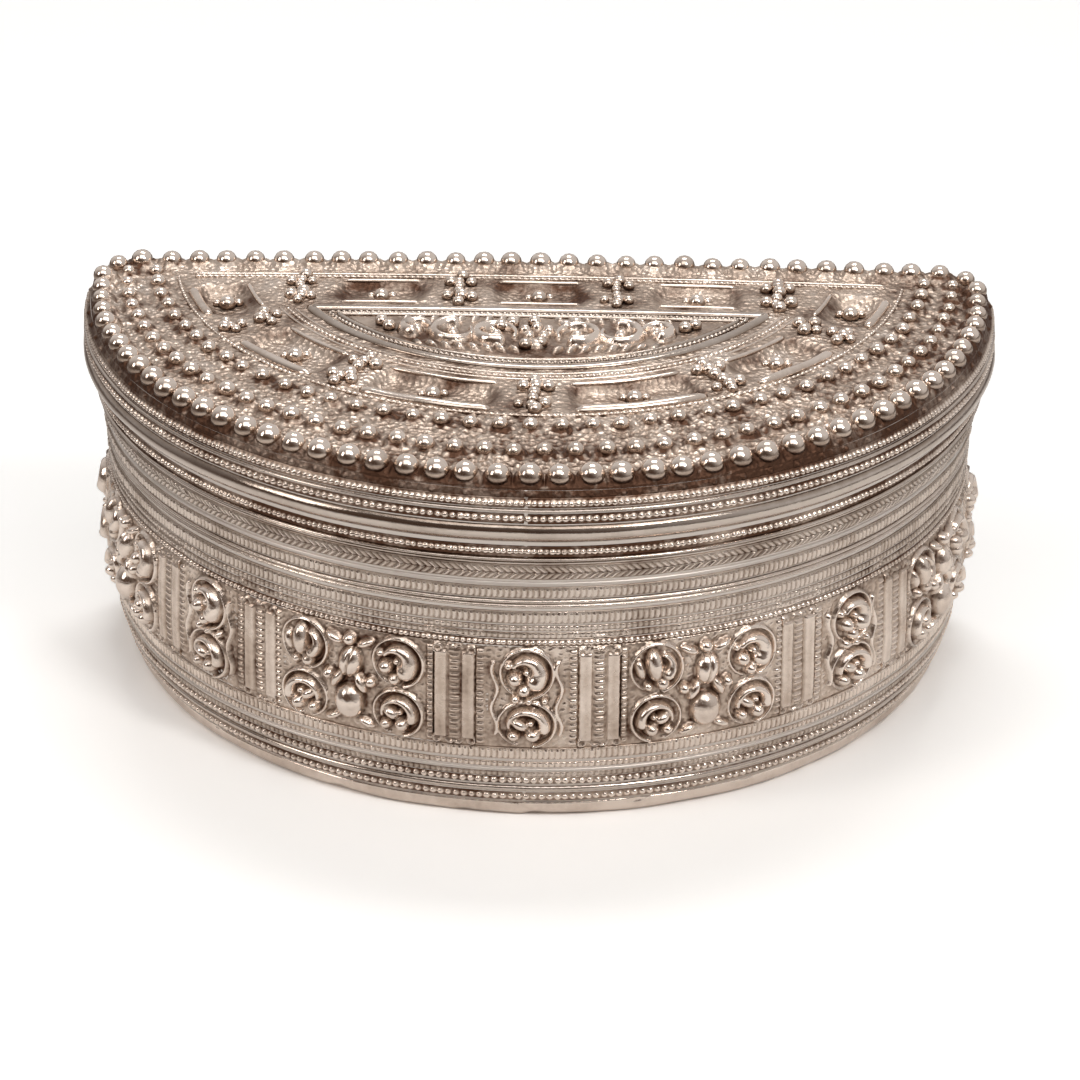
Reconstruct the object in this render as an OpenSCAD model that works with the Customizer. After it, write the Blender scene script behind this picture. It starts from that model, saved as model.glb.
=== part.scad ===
// Half-moon paan box in embossed silver: a D-shaped box with a lid that lifts off.
// Millimetres. +Z is up, the curved front faces -Y, and the origin is at the centre of the base.

/* [Plan] */
// Radius of the curved front, at the reference line of the plan
arc_r = 62; // [50:1:80]
// Straight stretch of each side, between the curved front and the back corner
side_len = 0.2; // [0.2:0.2:6]
// Radius of the two back corners, at the reference line
corner_r = 5.2; // [5.2:0.2:10]
// Thickness of the silver sheet
sheet = 0.8; // [0.5:0.1:1.2]

/* [Box] */
// Height of the plain foot moulding
foot_h = 2.4; // [1.6:0.2:4]
// Width of the flat ring that the box stands on
foot_w = 1.3; // [1:0.1:1.6]
// How far the foot moulding swells out
foot_swell = 0.5; // [0.2:0.1:1]
// Height of the widest part of the belly
belly_z = 18; // [14:1:22]
// Offset of the belly from the reference line
belly_off = -0.2; // [-1:0.1:0.5]
// How far the wall draws in below the belly
undercut = 3.7; // [1:0.1:3.9]
// Height of the mouth, where the wall ends
mouth_z = 40.3; // [38:0.1:44]
// How far the neck draws in above the belly
neck_in = 0.9; // [0:0.1:1.5]
// How far the wall flares back out at the mouth
neck_flare = 1.7; // [1:0.1:2.5]
// Thickness of the ledge that the lid comes down on
ledge_t = 0.7; // [0.5:0.1:1.2]
// Height of the upright collar above the ledge
collar_h = 5.8; // [3:0.2:7]

/* [Lid] */
// Running clearance between the collar and the lid
lid_clear = 0.3; // [0.2:0.05:0.5]
// Offset of the lid's skirt from the reference line
skirt_off = 1; // [0.9:0.1:1.5]
// Height of the straight skirt, up to the roll
skirt_h = 2.8; // [2:0.2:3.4]
// Height of the polished roll
roll_h = 3.1; // [2:0.2:4]
// How far the polished roll stands out
roll_out = 1.1; // [0.5:0.1:1.6]
// Offset of the shoulder above the roll
shoulder_off = 2.2; // [1.6:0.1:2.6]
// Height of the shoulder, from the roll to the top sheet
shoulder_h = 4.7; // [4:0.1:6]
// How far the shoulder draws in at its top edge
shoulder_in = 0.7; // [0:0.1:1]

/* [Lid beads] */
// Radius of the large beads along the front edge
outer_bead_r = 1.4; // [1:0.1:1.5]
// Number of large beads along the front edge
outer_bead_n = 49; // [30:1:54]
// Radius of the beads of the second row
middle_bead_r = 1.15; // [0.8:0.05:1.3]
// Number of beads in the second row
middle_bead_n = 46; // [30:1:52]
// Radius of the beads of the third row
inner_bead_r = 0.95; // [0.6:0.05:1.1]
// Number of beads in the third row
inner_bead_n = 41; // [30:1:48]
// Radius of the beads along the straight back edge
back_bead_r = 1.45; // [1:0.05:1.5]
// Number of beads along the straight back edge
back_bead_n = 29; // [20:1:32]
// Radius of the beads that stand in clusters between the dishes
cluster_bead_r = 0.85; // [0.5:0.05:0.85]

/* [Lid panel] */
// Distance from the edge of the front to the second row, at the middle
middle_row_in = 7.2; // [6:0.2:8]
// Distance from the edge of the front to the third row, at the middle
inner_row_in = 14.6; // [13:0.2:15.6]
// Distance from the edge of the front to the sunk dishes, at the middle
panel_in = 19.6; // [19:0.2:22]
// Width of the sunk dishes along the front
dish_w = 8.4; // [6:0.2:8.8]
// Width of the sunk dishes along the back
back_dish_w = 7.6; // [5:0.2:8.4]
// Depth of the sunk dishes
dish_depth = 1.3; // [0.6:0.1:1.6]
// Gap between the dishes and the front of the half-moon
moon_gap = 4.4; // [3.4:0.2:7]
// Gap between the dishes and the tips of the half-moon
moon_tip_gap = 5.3; // [4.3:0.2:8]
// Width of the smooth rim round the half-moon
moon_rim_w = 2.8; // [2:0.2:4]
// Height of the smooth rim round the half-moon
moon_rim_h = 0.8; // [0.4:0.1:1.2]

/* [Wall bands] */
// How far the beaded bands stand out from the wall
band_rise = 0.45; // [0.2:0.05:0.7]
// How far the smooth ridges stand out from the wall
ridge_rise = 0.35; // [0.2:0.05:0.6]
// Height of the frieze's lower edge
frieze_z = 12.2; // [11.6:0.1:12.6]
// Height of the frieze
frieze_h = 15.4; // [13:0.1:15.6]
// Width of one flat bar of a pilaster
bar_w = 1.7; // [0.8:0.1:2]
// Distance between the two bars of a pilaster
bar_gap = 3.7; // [2.6:0.1:4]
// How far a pilaster bar stands out
bar_rise = 0.4; // [0.2:0.05:0.8]
// Outer radius of a scroll roundel
roundel_r = 3.8; // [3:0.1:3.9]
// Radius of the wire round a roundel
wire_r = 0.45; // [0.3:0.05:0.6]
// Radius of one lobe inside a roundel
lobe_r = 1.3; // [0.8:0.05:1.4]
// Radius of the bud between roundels
bud_r = 2.1; // [1.4:0.1:2.4]

/* [Hidden] */
$fn = 144;
bead_fn = 32;
silver = [0.74, 0.68, 0.63];
dark_silver = [0.62, 0.54, 0.49];
bright_silver = [0.86, 0.81, 0.77];
eps = 0.01;

// Plan, worked out from the driving sizes
tip_len = side_len + corner_r;
arc_y = (arc_r - tip_len) / 2;
back_y = arc_y + tip_len;
back_half = arc_r - corner_r;

// Heights, from the ledge up to the top sheet
ledge_top = mouth_z + ledge_t;
collar_top = ledge_top + collar_h;
lid_z = ledge_top;
roll_z = lid_z + skirt_h;
shoulder_z = roll_z + roll_h;
plate_z = shoulder_z + shoulder_h;
top_z = plate_z + sheet;

// Outlines of the wall and of the lid's side: [height, offset from the reference line]
wall_steps = 18;
neck_len = mouth_z - belly_z;
function wall_off(z) = z < belly_z
    ? belly_off - undercut * pow(1 - z / belly_z, 2.5)
    : belly_off - neck_in * (z - belly_z) / neck_len + neck_flare * pow((z - belly_z) / neck_len, 4);
wall_line = [for (i = [0 : wall_steps])
    let (z = foot_h + (mouth_z - foot_h) * i / wall_steps) [z, wall_off(z)]];
lid_line = [
    [lid_z, skirt_off],
    [roll_z, skirt_off],
    [shoulder_z, shoulder_off],
    [shoulder_z + shoulder_h * 0.6, shoulder_off],
    [plate_z, shoulder_off - shoulder_in]
];
plate_off = shoulder_off - shoulder_in;

// Points of a line between two heights, as [offset, height], ends included
function between(line, z0, z1) = concat(
    [[lookup(z0, line), z0]],
    [for (p = line) if (p[0] > z0 + eps && p[0] < z1 - eps) [p[1], p[0]]],
    [[lookup(z1, line), z1]]);
function flip(pts) = [for (i = [len(pts) - 1 : -1 : 0]) pts[i]];
function shifted(pts, d) = [for (p = pts) [p[0] + d, p[1]]];

// A sheet that follows a line, with its outer face on the line
module sheet_section(line, z0, z1) {
    outer = between(line, z0, z1);
    polygon(concat(outer, flip(shifted(outer, -sheet))));
}

// A half-round band that sits on a line and stands out by rise at its middle
module band_section(line, z0, z1, rise, steps = 8) {
    round_face = [for (i = [steps - 1 : -1 : 1])
        let (z = z0 + (z1 - z0) * i / steps) [lookup(z, line) + rise * sin(180 * i / steps), z]];
    polygon(concat(between(line, z0, z1), round_face));
}

// Carries a section, given as [offset, height], along the curved front, the sides and the corners
module sweep_front() {
    translate([0, arc_y, 0]) rotate([0, 0, 180]) rotate_extrude(angle = 180) translate([arc_r, 0]) children();
    for (side = [0, 1]) mirror([side, 0, 0]) {
        translate([arc_r, arc_y + side_len, 0]) rotate([90, 0, 0]) linear_extrude(side_len) children();
        translate([back_half, arc_y + side_len, 0])
            rotate_extrude(angle = 90) translate([corner_r, 0]) children();
    }
}

// Carries a section along the straight back
module sweep_back() {
    translate([-back_half, back_y, 0]) rotate([90, 0, 90]) linear_extrude(2 * back_half) children();
}

module sweep_all() {
    sweep_front() children();
    sweep_back() children();
}

// A flat plate with the plan of the box, its edge off by off from the reference line
module d_plate(off, z0, z1) {
    h = z1 - z0;
    translate([0, arc_y, z0]) rotate([0, 0, 180]) rotate_extrude(angle = 180) square([arc_r + off, h]);
    translate([-(arc_r + off), arc_y, z0]) cube([2 * (arc_r + off), side_len, h]);
    translate([-back_half, arc_y, z0]) cube([2 * back_half, tip_len + off, h]);
    for (side = [0, 1]) mirror([side, 0, 0])
        translate([back_half, arc_y + side_len, z0]) rotate_extrude(angle = 90) square([corner_r + off, h]);
}

// Box: sheets, foot and collar
foot_in = max(lookup(foot_h, wall_line) - sheet - foot_w, 0.2 - corner_r);
foot_steps = 6;
module foot_section() {
    face = [for (i = [0 : foot_steps])
        let (z = foot_h * i / foot_steps) [wall_off(z) + foot_swell * sin(180 * i / foot_steps), z]];
    polygon(concat([[foot_in, 0]], face, [[foot_in, foot_h]]));
}
module front_wall() { color(silver) sweep_front() sheet_section(wall_line, foot_h, mouth_z); }
module back_wall() { color(silver) sweep_back() sheet_section(wall_line, foot_h, mouth_z); }
module foot_rim() { color(silver) sweep_all() foot_section(); }
module base_plate() { color(dark_silver) d_plate(foot_in, 0, sheet); }

collar_off = skirt_off - sheet - lid_clear;
module mouth_collar() {
    color(bright_silver) sweep_all() {
        translate([collar_off - sheet, mouth_z]) square([sheet, ledge_t + collar_h]);
        translate([collar_off - sheet, mouth_z])
            square([lookup(mouth_z, wall_line) + ridge_rise / 2 - collar_off + sheet, ledge_t]);
    }
}

// Box: bands chased round the wall
rope_h = 2.5;
rope_z = mouth_z - rope_h;
upper_band_h = 1.9;
upper_band_z = rope_z - 1.1 - upper_band_h;
ridge_h = 0.65;
ridge_z = upper_band_z - 2 * ridge_h - 0.2;
lower_band_h = 2;
lower_band_z = ridge_z - 0.4 - lower_band_h;
line_h = 1;
frieze_top = frieze_z + frieze_h;
belly_band_z = frieze_z - 6.1;
base_ridge_z = belly_band_z - 1.5;
base_band_z = foot_h + 0.4;
module wall_band(z, h, rise) { sweep_all() band_section(wall_line, z, z + h, rise); }
module rope_band() { color(silver) wall_band(rope_z, rope_h, band_rise); }
module upper_bead_band() { color(silver) wall_band(upper_band_z, upper_band_h, band_rise); }
module neck_ridges() {
    color(bright_silver) for (i = [0, 1]) wall_band(ridge_z + i * (ridge_h + 0.1), ridge_h, ridge_rise);
}
module lower_bead_band() { color(silver) wall_band(lower_band_z, lower_band_h, band_rise); }
module frieze_head_line() { color(silver) wall_band(frieze_top, line_h, ridge_rise); }
module frieze_sill_line() { color(silver) wall_band(frieze_z - line_h, line_h, ridge_rise); }
module belly_bead_band() { color(dark_silver) wall_band(belly_band_z, line_h, band_rise); }
module base_ridge() { color(bright_silver) wall_band(base_ridge_z, line_h, ridge_rise); }
module base_bead_band() { color(dark_silver) wall_band(base_band_z, base_ridge_z - base_band_z - 0.2, band_rise); }

// Box: frieze of panels between pilasters, by the angle round the curved front
narrow_angles = [-85.4, -45, 0, 45, 85.4];
wide_angles = [-66.6, -22.5, 22.5, 66.6];
pilaster_angles = [-79.1, -54, -36, -9, 9, 36, 54, 79.1];
roundel_z = frieze_z + frieze_h / 2;
roundel_rise = frieze_h / 4 - 0.1;
// Ornament keeps its share of the front when the radius changes; 62 is the radius its sizes are stated at
ornament_scale = arc_r / 62;
roundel_run = min(roundel_r * ornament_scale, frieze_h / 4 - 0.05);
bud_run = bud_r * ornament_scale;
lobe_run_r = lobe_r * ornament_scale;
panel_gap = 0.18;
wide_half = (79.1 - 54) / 2 * PI / 180 * arc_r - bar_gap / 2 - bar_w / 2;
wide_reach = wide_half - roundel_run - panel_gap;
sink = 0.3;

module pilaster_bars() {
    bar_z0 = frieze_z + 0.5;
    bar_z1 = frieze_top - 0.5;
    turn = bar_w / arc_r * 180 / PI;
    step = bar_gap / arc_r * 90 / PI;
    color(bright_silver) for (a = pilaster_angles, s = [-1, 1])
        translate([0, arc_y, 0]) rotate([0, 0, a - 90 + s * step - turn / 2])
            rotate_extrude(angle = turn) translate([arc_r, 0]) bar_section(bar_z0, bar_z1);
}
module bar_section(z0, z1) {
    inner = between(wall_line, z0, z1);
    polygon(concat(inner, flip(shifted(inner, bar_rise))));
}

// Stands what follows on the wall at an angle and a height, with +Z pointing out of the wall
module on_wall(angle, z, along = 0) {
    translate([0, arc_y, 0]) rotate([0, 0, angle + along / arc_r * 180 / PI])
        translate([0, -(arc_r + wall_off(z)), z]) rotate([90, 0, 0]) children();
}
// A dome whose foot goes a little way into the sheet behind it
module dome(r, foot = sink, up = 0) {
    difference() {
        translate([0, 0, up]) sphere(r, $fn = bead_fn);
        translate([-2 * r, -2 * r, -4 * r - foot]) cube([4 * r, 4 * r, 4 * r]);
    }
}
// A roundel: a curl of wire, open on one side, round three lobes
module roundel(start) {
    wire_run = roundel_run - wire_r;
    lobe_run = wire_run - wire_r - lobe_run_r * 0.92;
    rotate([0, 0, start]) rotate_extrude(angle = 285, $fn = 48) translate([wire_run, 0]) intersection() {
        circle(wire_r * 1.6, $fn = 16);
        translate([-wire_r, -sink]) square([2 * wire_r, 2 * wire_r + sink]);
    }
    for (i = [0 : 2]) rotate([0, 0, start + 30 + 120 * i]) translate([lobe_run, 0, 0])
        dome(lobe_run_r * (1 - 0.1 * i));
}
module roundel_pair(angle, along, turn) {
    on_wall(angle, roundel_z + roundel_rise, along) roundel(turn);
    on_wall(angle, roundel_z - roundel_rise, along) roundel(180 - turn);
}
module narrow_panel_scrolls() { color(silver) for (a = narrow_angles) roundel_pair(a, 0, 220); }
module wide_panel_scrolls() {
    color(silver) for (a = wide_angles, s = [-1, 1]) roundel_pair(a, s * wide_reach, s > 0 ? 220 : 100);
}
module wide_panel_buds() {
    color(bright_silver) for (a = wide_angles) {
        on_wall(a, roundel_z - roundel_rise * 0.7) dome(bud_run);
        on_wall(a, roundel_z + roundel_rise * 0.7) dome(bud_run * 0.75);
    }
}

// Lid: side
module lid_band() { color(silver) sweep_all() sheet_section(lid_line, lid_z, plate_z); }
module lid_detail(z0, z1, rise) { sweep_all() band_section(lid_line, z0, z1, rise); }
lip_h = 0.6;
module skirt_lip() { color(bright_silver) lid_detail(lid_z, lid_z + lip_h, ridge_rise); }
module skirt_bead_band() { color(silver) lid_detail(lid_z + lip_h, roll_z - 0.5, band_rise); }
module lid_roll() { color(bright_silver) lid_detail(roll_z, shoulder_z, roll_out); }
shoulder_band_h = 1.5;
shoulder_ridge_h = 0.6;
module shoulder_bead_band() { color(silver) lid_detail(shoulder_z + 0.2, shoulder_z + 0.2 + shoulder_band_h, band_rise); }
shoulder_ridge_z = shoulder_z + 0.3 + shoulder_band_h;
module shoulder_ridge() { color(bright_silver) lid_detail(shoulder_ridge_z, shoulder_ridge_z + shoulder_ridge_h, ridge_rise); }
rim_line_z = shoulder_ridge_z + shoulder_ridge_h + 0.1;
module rim_bead_line() { color(silver) lid_detail(rim_line_z, rim_line_z + line_h, ridge_rise); }

// Lid: circles that the rows and dishes follow. Each passes through a front point and two side points.
function circle_through(half_w, depth) = (half_w * half_w + depth * depth) / (2 * depth);
// Half the width of a circle at a distance from its centre
function chord(r, away) = sqrt(r * r - away * away);
front_y = arc_y - arc_r;
middle_half_w = arc_r - 3.6;
inner_half_w = arc_r - 7.6;
panel_half_w = arc_r - 12;
middle_circle = circle_through(middle_half_w, arc_r - middle_row_in);
inner_circle = circle_through(inner_half_w, arc_r - inner_row_in);
panel_circle = circle_through(panel_half_w, arc_r - panel_in);
panel_y = front_y + panel_in + panel_circle;

module top_bead(r) {
    translate([0, 0, top_z]) dome(r, 0, r * 0.3);
}
// A row of beads along a circle from its front point to where it reaches the back row
module bead_row(radius, row_in, n, r, stop_y) {
    centre_y = front_y + row_in + radius;
    reach = acos((centre_y - stop_y) / radius);
    for (i = [0 : n - 1]) {
        a = -reach + 2 * reach * i / (n - 1);
        translate([radius * sin(a), centre_y - radius * cos(a), 0]) top_bead(r);
    }
}
back_row_y = back_y + plate_off - back_bead_r - 0.2;
module outer_beads() {
    color(bright_silver) {
        bead_row(arc_r, 0, outer_bead_n, outer_bead_r, arc_y);
        for (s = [-1, 1]) translate([s * (back_half + corner_r * sin(45)), arc_y + side_len + corner_r * sin(45), 0])
            top_bead(min(outer_bead_r, corner_r * 0.25));
    }
}
module middle_beads() { color(bright_silver) bead_row(middle_circle, middle_row_in, middle_bead_n, middle_bead_r, arc_y + 1.6); }
module inner_beads() { color(silver) bead_row(inner_circle, inner_row_in, inner_bead_n, inner_bead_r, arc_y + 1.6); }
module back_beads() {
    reach = back_half + 0.2;
    color(bright_silver) for (i = [0 : back_bead_n - 1])
        translate([-reach + 2 * reach * i / (back_bead_n - 1), back_row_y, 0]) top_bead(back_bead_r);
}

// Lid: sunk dishes round the half-moon, in a panel that is deepened from below to hold them
dish_angles = [[-77, -64], [-54.5, -36], [-28.5, -5.5], [5.5, 28.5], [36, 54.5], [64, 77]];
dish_out = panel_circle;
dish_back_y = arc_y - 0.6;
back_dishes = [[-29, -15.5], [-7, 7], [15.5, 29]];
moon_y = dish_back_y - back_dish_w - 1.4;
moon_depth = moon_y - (front_y + panel_in + dish_w + moon_gap);
moon_half_w = chord(panel_circle - dish_w, panel_y - moon_y) - moon_tip_gap;
moon_circle = circle_through(moon_half_w, moon_depth);
moon_centre = moon_y - moon_depth + moon_circle;

module arc_dish(from, to) {
    translate([0, panel_y, top_z - dish_depth]) rotate([0, 0, from - 90]) rotate_extrude(angle = to - from)
        translate([dish_out - dish_w, 0]) square([dish_w, dish_depth + 1]);
}
module back_dish(x0, x1) {
    translate([x0, dish_back_y - back_dish_w, top_z - dish_depth]) cube([x1 - x0, back_dish_w, dish_depth + 1]);
}
// The flat side of a circle: what lies in front of a straight edge
module segment(centre_y, r, edge_y, z, h) {
    translate([0, 0, z]) intersection() {
        translate([0, centre_y, 0]) cylinder(r = r, h = h);
        translate([-2 * arc_r, edge_y - 4 * arc_r, 0]) cube([4 * arc_r, 4 * arc_r, h]);
    }
}
module lid_plate() {
    color(silver) difference() {
        union() {
            d_plate(plate_off, plate_z, top_z);
            difference() {
                segment(panel_y, panel_circle + sheet, dish_back_y + sheet, plate_z - dish_depth, dish_depth + sheet / 2);
                segment(moon_centre, moon_circle - sheet, moon_y - sheet, plate_z - dish_depth - 1, dish_depth + 1);
            }
        }
        for (d = dish_angles) arc_dish(d[0], d[1]);
        for (d = back_dishes) back_dish(d[0], d[1]);
    }
}

// Stands what follows in the ring of dishes, at an angle round the front
module in_ring(angle, r) { translate([0, panel_y, 0]) rotate([0, 0, angle]) translate([0, -r, 0]) children(); }
cluster_angles = [-59.2, -32.2, 0, 32.2, 59.2];
cluster_xs = [-33.5, -11.2, 11.2, 33.5];
cluster_run = 1.6;
module cluster() {
    for (i = [0 : 3]) rotate([0, 0, 90 * i]) translate([0, cluster_run, 0]) top_bead(cluster_bead_r);
    top_bead(cluster_bead_r * 0.8);
}
module cluster_beads() {
    color(bright_silver) {
        for (a = cluster_angles, r = [dish_out - 1.6, dish_out - dish_w + 1.4]) in_ring(a, r) cluster();
        for (x = cluster_xs, y = [dish_back_y - 0.9, dish_back_y - back_dish_w + 1.7])
            translate([x, y, 0]) cluster();
    }
}
boss_r = 1.1;
module dish_boss() { translate([0, 0, top_z - dish_depth]) dome(boss_r, 0); }
module dish_bosses() {
    color(silver) {
        for (d = dish_angles) in_ring((d[0] + d[1]) / 2, dish_out - dish_w / 2) dish_boss();
        for (d = back_dishes) translate([(d[0] + d[1]) / 2, dish_back_y - back_dish_w / 2, 0]) dish_boss();
    }
}

// Lid: the half-moon in the middle
module moon(inset, z, h) { segment(moon_centre, moon_circle - inset, moon_y - inset, z, h); }
module moon_rim() {
    color(bright_silver) difference() {
        moon(0, top_z, moon_rim_h);
        moon(moon_rim_w, top_z - eps, moon_rim_h + 2 * eps);
    }
}
leaf_y = moon_y - moon_depth * 0.45;
leaf_wire = 0.8;
leaf_gap = 3.2;
leaf_pitch = 2.35;
leaf_r = (chord(moon_circle - moon_rim_w, moon_centre - leaf_y) - leaf_wire - leaf_gap) / (2 * leaf_pitch + 1);
module leaf_curl(x, start) {
    translate([x, leaf_y, top_z]) rotate([0, 0, start]) rotate_extrude(angle = 250, $fn = 48)
        translate([leaf_r, 0]) intersection() {
            circle(leaf_wire, $fn = 16);
            translate([-leaf_wire, 0]) square([2 * leaf_wire, leaf_wire]);
        }
}
module moon_leaves() {
    color(silver) for (i = [-2 : 2]) if (i != 0) leaf_curl(i * leaf_r * leaf_pitch, i > 0 ? -70 : 0);
}
module moon_bosses() {
    color(bright_silver) {
        for (i = [-2 : 2]) translate([i * leaf_r * leaf_pitch, leaf_y, 0]) top_bead(i == 0 ? 1.5 : 1.2);
        for (s = [-1, 1]) translate([s * moon_half_w * 0.65, moon_y - moon_rim_w - 1.6, 0]) top_bead(1.1);
    }
}

front_wall();
back_wall();
base_plate();
foot_rim();
mouth_collar();
rope_band();
upper_bead_band();
neck_ridges();
lower_bead_band();
frieze_head_line();
frieze_sill_line();
pilaster_bars();
narrow_panel_scrolls();
wide_panel_scrolls();
wide_panel_buds();
belly_bead_band();
base_ridge();
base_bead_band();
lid_plate();
lid_band();
lid_roll();
skirt_bead_band();
skirt_lip();
shoulder_bead_band();
shoulder_ridge();
rim_bead_line();
outer_beads();
middle_beads();
inner_beads();
back_beads();
cluster_beads();
dish_bosses();
moon_rim();
moon_leaves();
moon_bosses();
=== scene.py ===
"""Half-moon paan box: the looks of its embossed silver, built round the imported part.

Run as a script in Blender. Sizes inside the functions are millimetres; meshes are written in metres.
"""

import math

import bpy
import numpy as np
from mathutils import Matrix, Vector


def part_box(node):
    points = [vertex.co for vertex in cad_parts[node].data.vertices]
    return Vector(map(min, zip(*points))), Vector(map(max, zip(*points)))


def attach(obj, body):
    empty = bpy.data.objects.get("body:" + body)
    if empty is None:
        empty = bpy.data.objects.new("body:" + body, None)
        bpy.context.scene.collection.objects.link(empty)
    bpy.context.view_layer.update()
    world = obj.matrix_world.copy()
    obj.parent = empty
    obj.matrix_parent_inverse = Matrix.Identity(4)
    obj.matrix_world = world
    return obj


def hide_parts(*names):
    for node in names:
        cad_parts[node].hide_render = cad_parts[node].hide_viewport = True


bl_info = {
    "name": "Half-moon Paan Box",
    "version": (1, 0, 0),
    "blender": (4, 5, 0),
    "location": "View3D > Sidebar > Paan Box",
    "description": "Builds a half-moon betel box of embossed silver on its packed frame",
    "category": "Add Mesh",
}

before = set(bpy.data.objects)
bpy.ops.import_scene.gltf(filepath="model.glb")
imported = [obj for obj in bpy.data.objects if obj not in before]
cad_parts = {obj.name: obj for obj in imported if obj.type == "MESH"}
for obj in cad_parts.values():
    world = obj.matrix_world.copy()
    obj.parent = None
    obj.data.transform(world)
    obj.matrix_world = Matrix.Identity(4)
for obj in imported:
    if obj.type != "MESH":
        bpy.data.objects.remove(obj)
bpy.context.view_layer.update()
MM = 0.001
TAU = 2.0 * math.pi


def to_mm(metres):
    return metres / MM


def node_box(node):
    """Lowest and highest corner of a CAD node, in millimetres."""
    lo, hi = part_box(node)
    return [to_mm(c) for c in lo], [to_mm(c) for c in hi]


def node_heights(node):
    """Lowest and highest point of a CAD node, in millimetres."""
    lo, hi = node_box(node)
    return lo[2], hi[2]


class SilverBoxSizes(bpy.types.PropertyGroup):
    """Sizes of the plan and of the chased work."""

    arc_radius: bpy.props.FloatProperty(
        name="Front radius", description="Radius of the curved front at the reference line of the plan",
        default=0.062, min=0.04, max=0.09, unit="LENGTH")
    sheet: bpy.props.FloatProperty(
        name="Sheet", description="Thickness of the silver sheet", default=0.0008, min=0.0004, max=0.0015,
        unit="LENGTH")
    fine_step: bpy.props.FloatProperty(
        name="Fine step", description="Spacing of the mesh along the beaded bands", default=0.00017,
        min=0.0001, max=0.0005, unit="LENGTH")
    smooth_step: bpy.props.FloatProperty(
        name="Smooth step", description="Spacing of the mesh along smooth mouldings", default=0.0006,
        min=0.0002, max=0.002, unit="LENGTH")
    fine_pitch: bpy.props.FloatProperty(
        name="Fine bead pitch", description="Distance between the beads of the fine lines", default=0.00078,
        min=0.0005, max=0.0015, unit="LENGTH")
    coarse_pitch: bpy.props.FloatProperty(
        name="Coarse bead pitch", description="Distance between the beads near the foot", default=0.0011,
        min=0.0007, max=0.002, unit="LENGTH")
    wobble: bpy.props.FloatProperty(
        name="Hand-raised wobble", description="How far the sheet strays from its true line", default=0.00009,
        min=0.0, max=0.0004, unit="LENGTH")
    crown: bpy.props.FloatProperty(
        name="Lid crown", description="How far the middle of the lid's back edge stands above its corners",
        default=0.0008, min=0.0, max=0.0016, unit="LENGTH")


class SilverLook(bpy.types.PropertyGroup):
    """Colours of the aged silver."""

    # Colour of the high relief level: silver kept bright by handling, and a painted highlight on the tops of
    # beads, wires and raised chasing
    bright: bpy.props.FloatVectorProperty(
        name="Bright silver", description="Colour where handling keeps the silver bright", subtype="COLOR",
        size=3, default=(0.9, 0.785, 0.7), min=0.0, max=1.0)
    warm: bpy.props.FloatVectorProperty(
        name="Warm silver", description="Colour of the aged sheet", subtype="COLOR",
        size=3, default=(0.56, 0.45, 0.372), min=0.0, max=1.0)
    # Colour of the low relief level: tarnish in the hollows, and painted shade in creases, at the feet of
    # beads and under wires
    tarnish_and_shade: bpy.props.FloatVectorProperty(
        name="Tarnish", description="Colour of the tarnish in the hollows", subtype="COLOR",
        size=3, default=(0.12, 0.062, 0.04), min=0.0, max=1.0)


class StageLook(bpy.types.PropertyGroup):
    """Camera, lamps and floor."""

    camera_elevation: bpy.props.FloatProperty(
        name="Camera elevation", description="Height of the camera above the horizon",
        default=math.radians(27.3), min=0.0, max=1.5, subtype="ANGLE")
    camera_azimuth: bpy.props.FloatProperty(
        name="Camera azimuth", description="Turn of the camera to the right of the box's front",
        default=math.radians(1.13), min=-3.2, max=3.2, subtype="ANGLE")
    camera_roll: bpy.props.FloatProperty(
        name="Camera roll", description="Counter-clockwise roll of the camera", default=math.radians(0.6),
        min=-0.2, max=0.2, subtype="ANGLE")
    camera_distance: bpy.props.FloatProperty(
        name="Camera distance", description="Distance from the middle of the box", default=0.5994,
        min=0.2, max=5.0, unit="LENGTH")
    lens: bpy.props.FloatProperty(
        name="Lens", description="Focal length on a 36 mm sensor", default=144.3, min=20.0, max=400.0)


class Plan:
    """The D-shaped plan of the box, in millimetres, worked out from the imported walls."""

    def __init__(self, arc_r):
        lo, hi = node_box("front_wall")
        self.arc_r = arc_r
        self.arc_y = lo[1] + hi[0]
        self.back_half = node_box("back_wall")[1][0]
        self.corner_r = arc_r - self.back_half
        self.back_y = hi[1] - (hi[0] - arc_r)
        self.side = self.back_y - self.arc_y - self.corner_r
        self.quarter = 0.25 * TAU * arc_r
        self.turn = 0.25 * TAU * self.corner_r
        self.half = self.quarter + self.side + self.turn + self.back_half
        self.length = 2.0 * self.half

    def at(self, s):
        """Point and outward normal at distance s along the outline, from the front's middle to the right.

        A quarter circle, then a short straight, then the small circle of the corner, then the straight back;
        the left half mirrors the right.
        """
        a = np.mod(s + self.half, self.length) - self.half
        m = np.abs(a)
        sign = np.where(a < 0, -1.0, 1.0)
        theta = np.clip(m / self.arc_r, 0.0, 0.25 * TAU)
        along = np.clip(m - self.quarter, 0.0, self.side)
        phi = np.clip((m - self.quarter - self.side) / self.corner_r, 0.0, 0.25 * TAU)
        rest = np.maximum(m - self.quarter - self.side - self.turn, 0.0)
        on_front = m <= self.quarter + self.side
        x = np.where(on_front, self.arc_r * np.sin(theta),
                     self.back_half + self.corner_r * np.cos(phi) - rest)
        y = np.where(on_front, self.arc_y - self.arc_r * np.cos(theta) + along,
                     self.arc_y + self.side + self.corner_r * np.sin(phi))
        nx = np.where(on_front, np.sin(theta), np.cos(phi))
        ny = np.where(on_front, -np.cos(theta), np.sin(phi))
        return sign * x, y, sign * nx, ny

    def steps(self, step):
        """Evenly spaced distances all the way round."""
        n = int(round(self.length / step))
        return np.arange(n) * self.length / n

    def even(self, pitch):
        """The pitch nearest to this one that divides the outline evenly."""
        return self.length / round(self.length / pitch)


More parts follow.
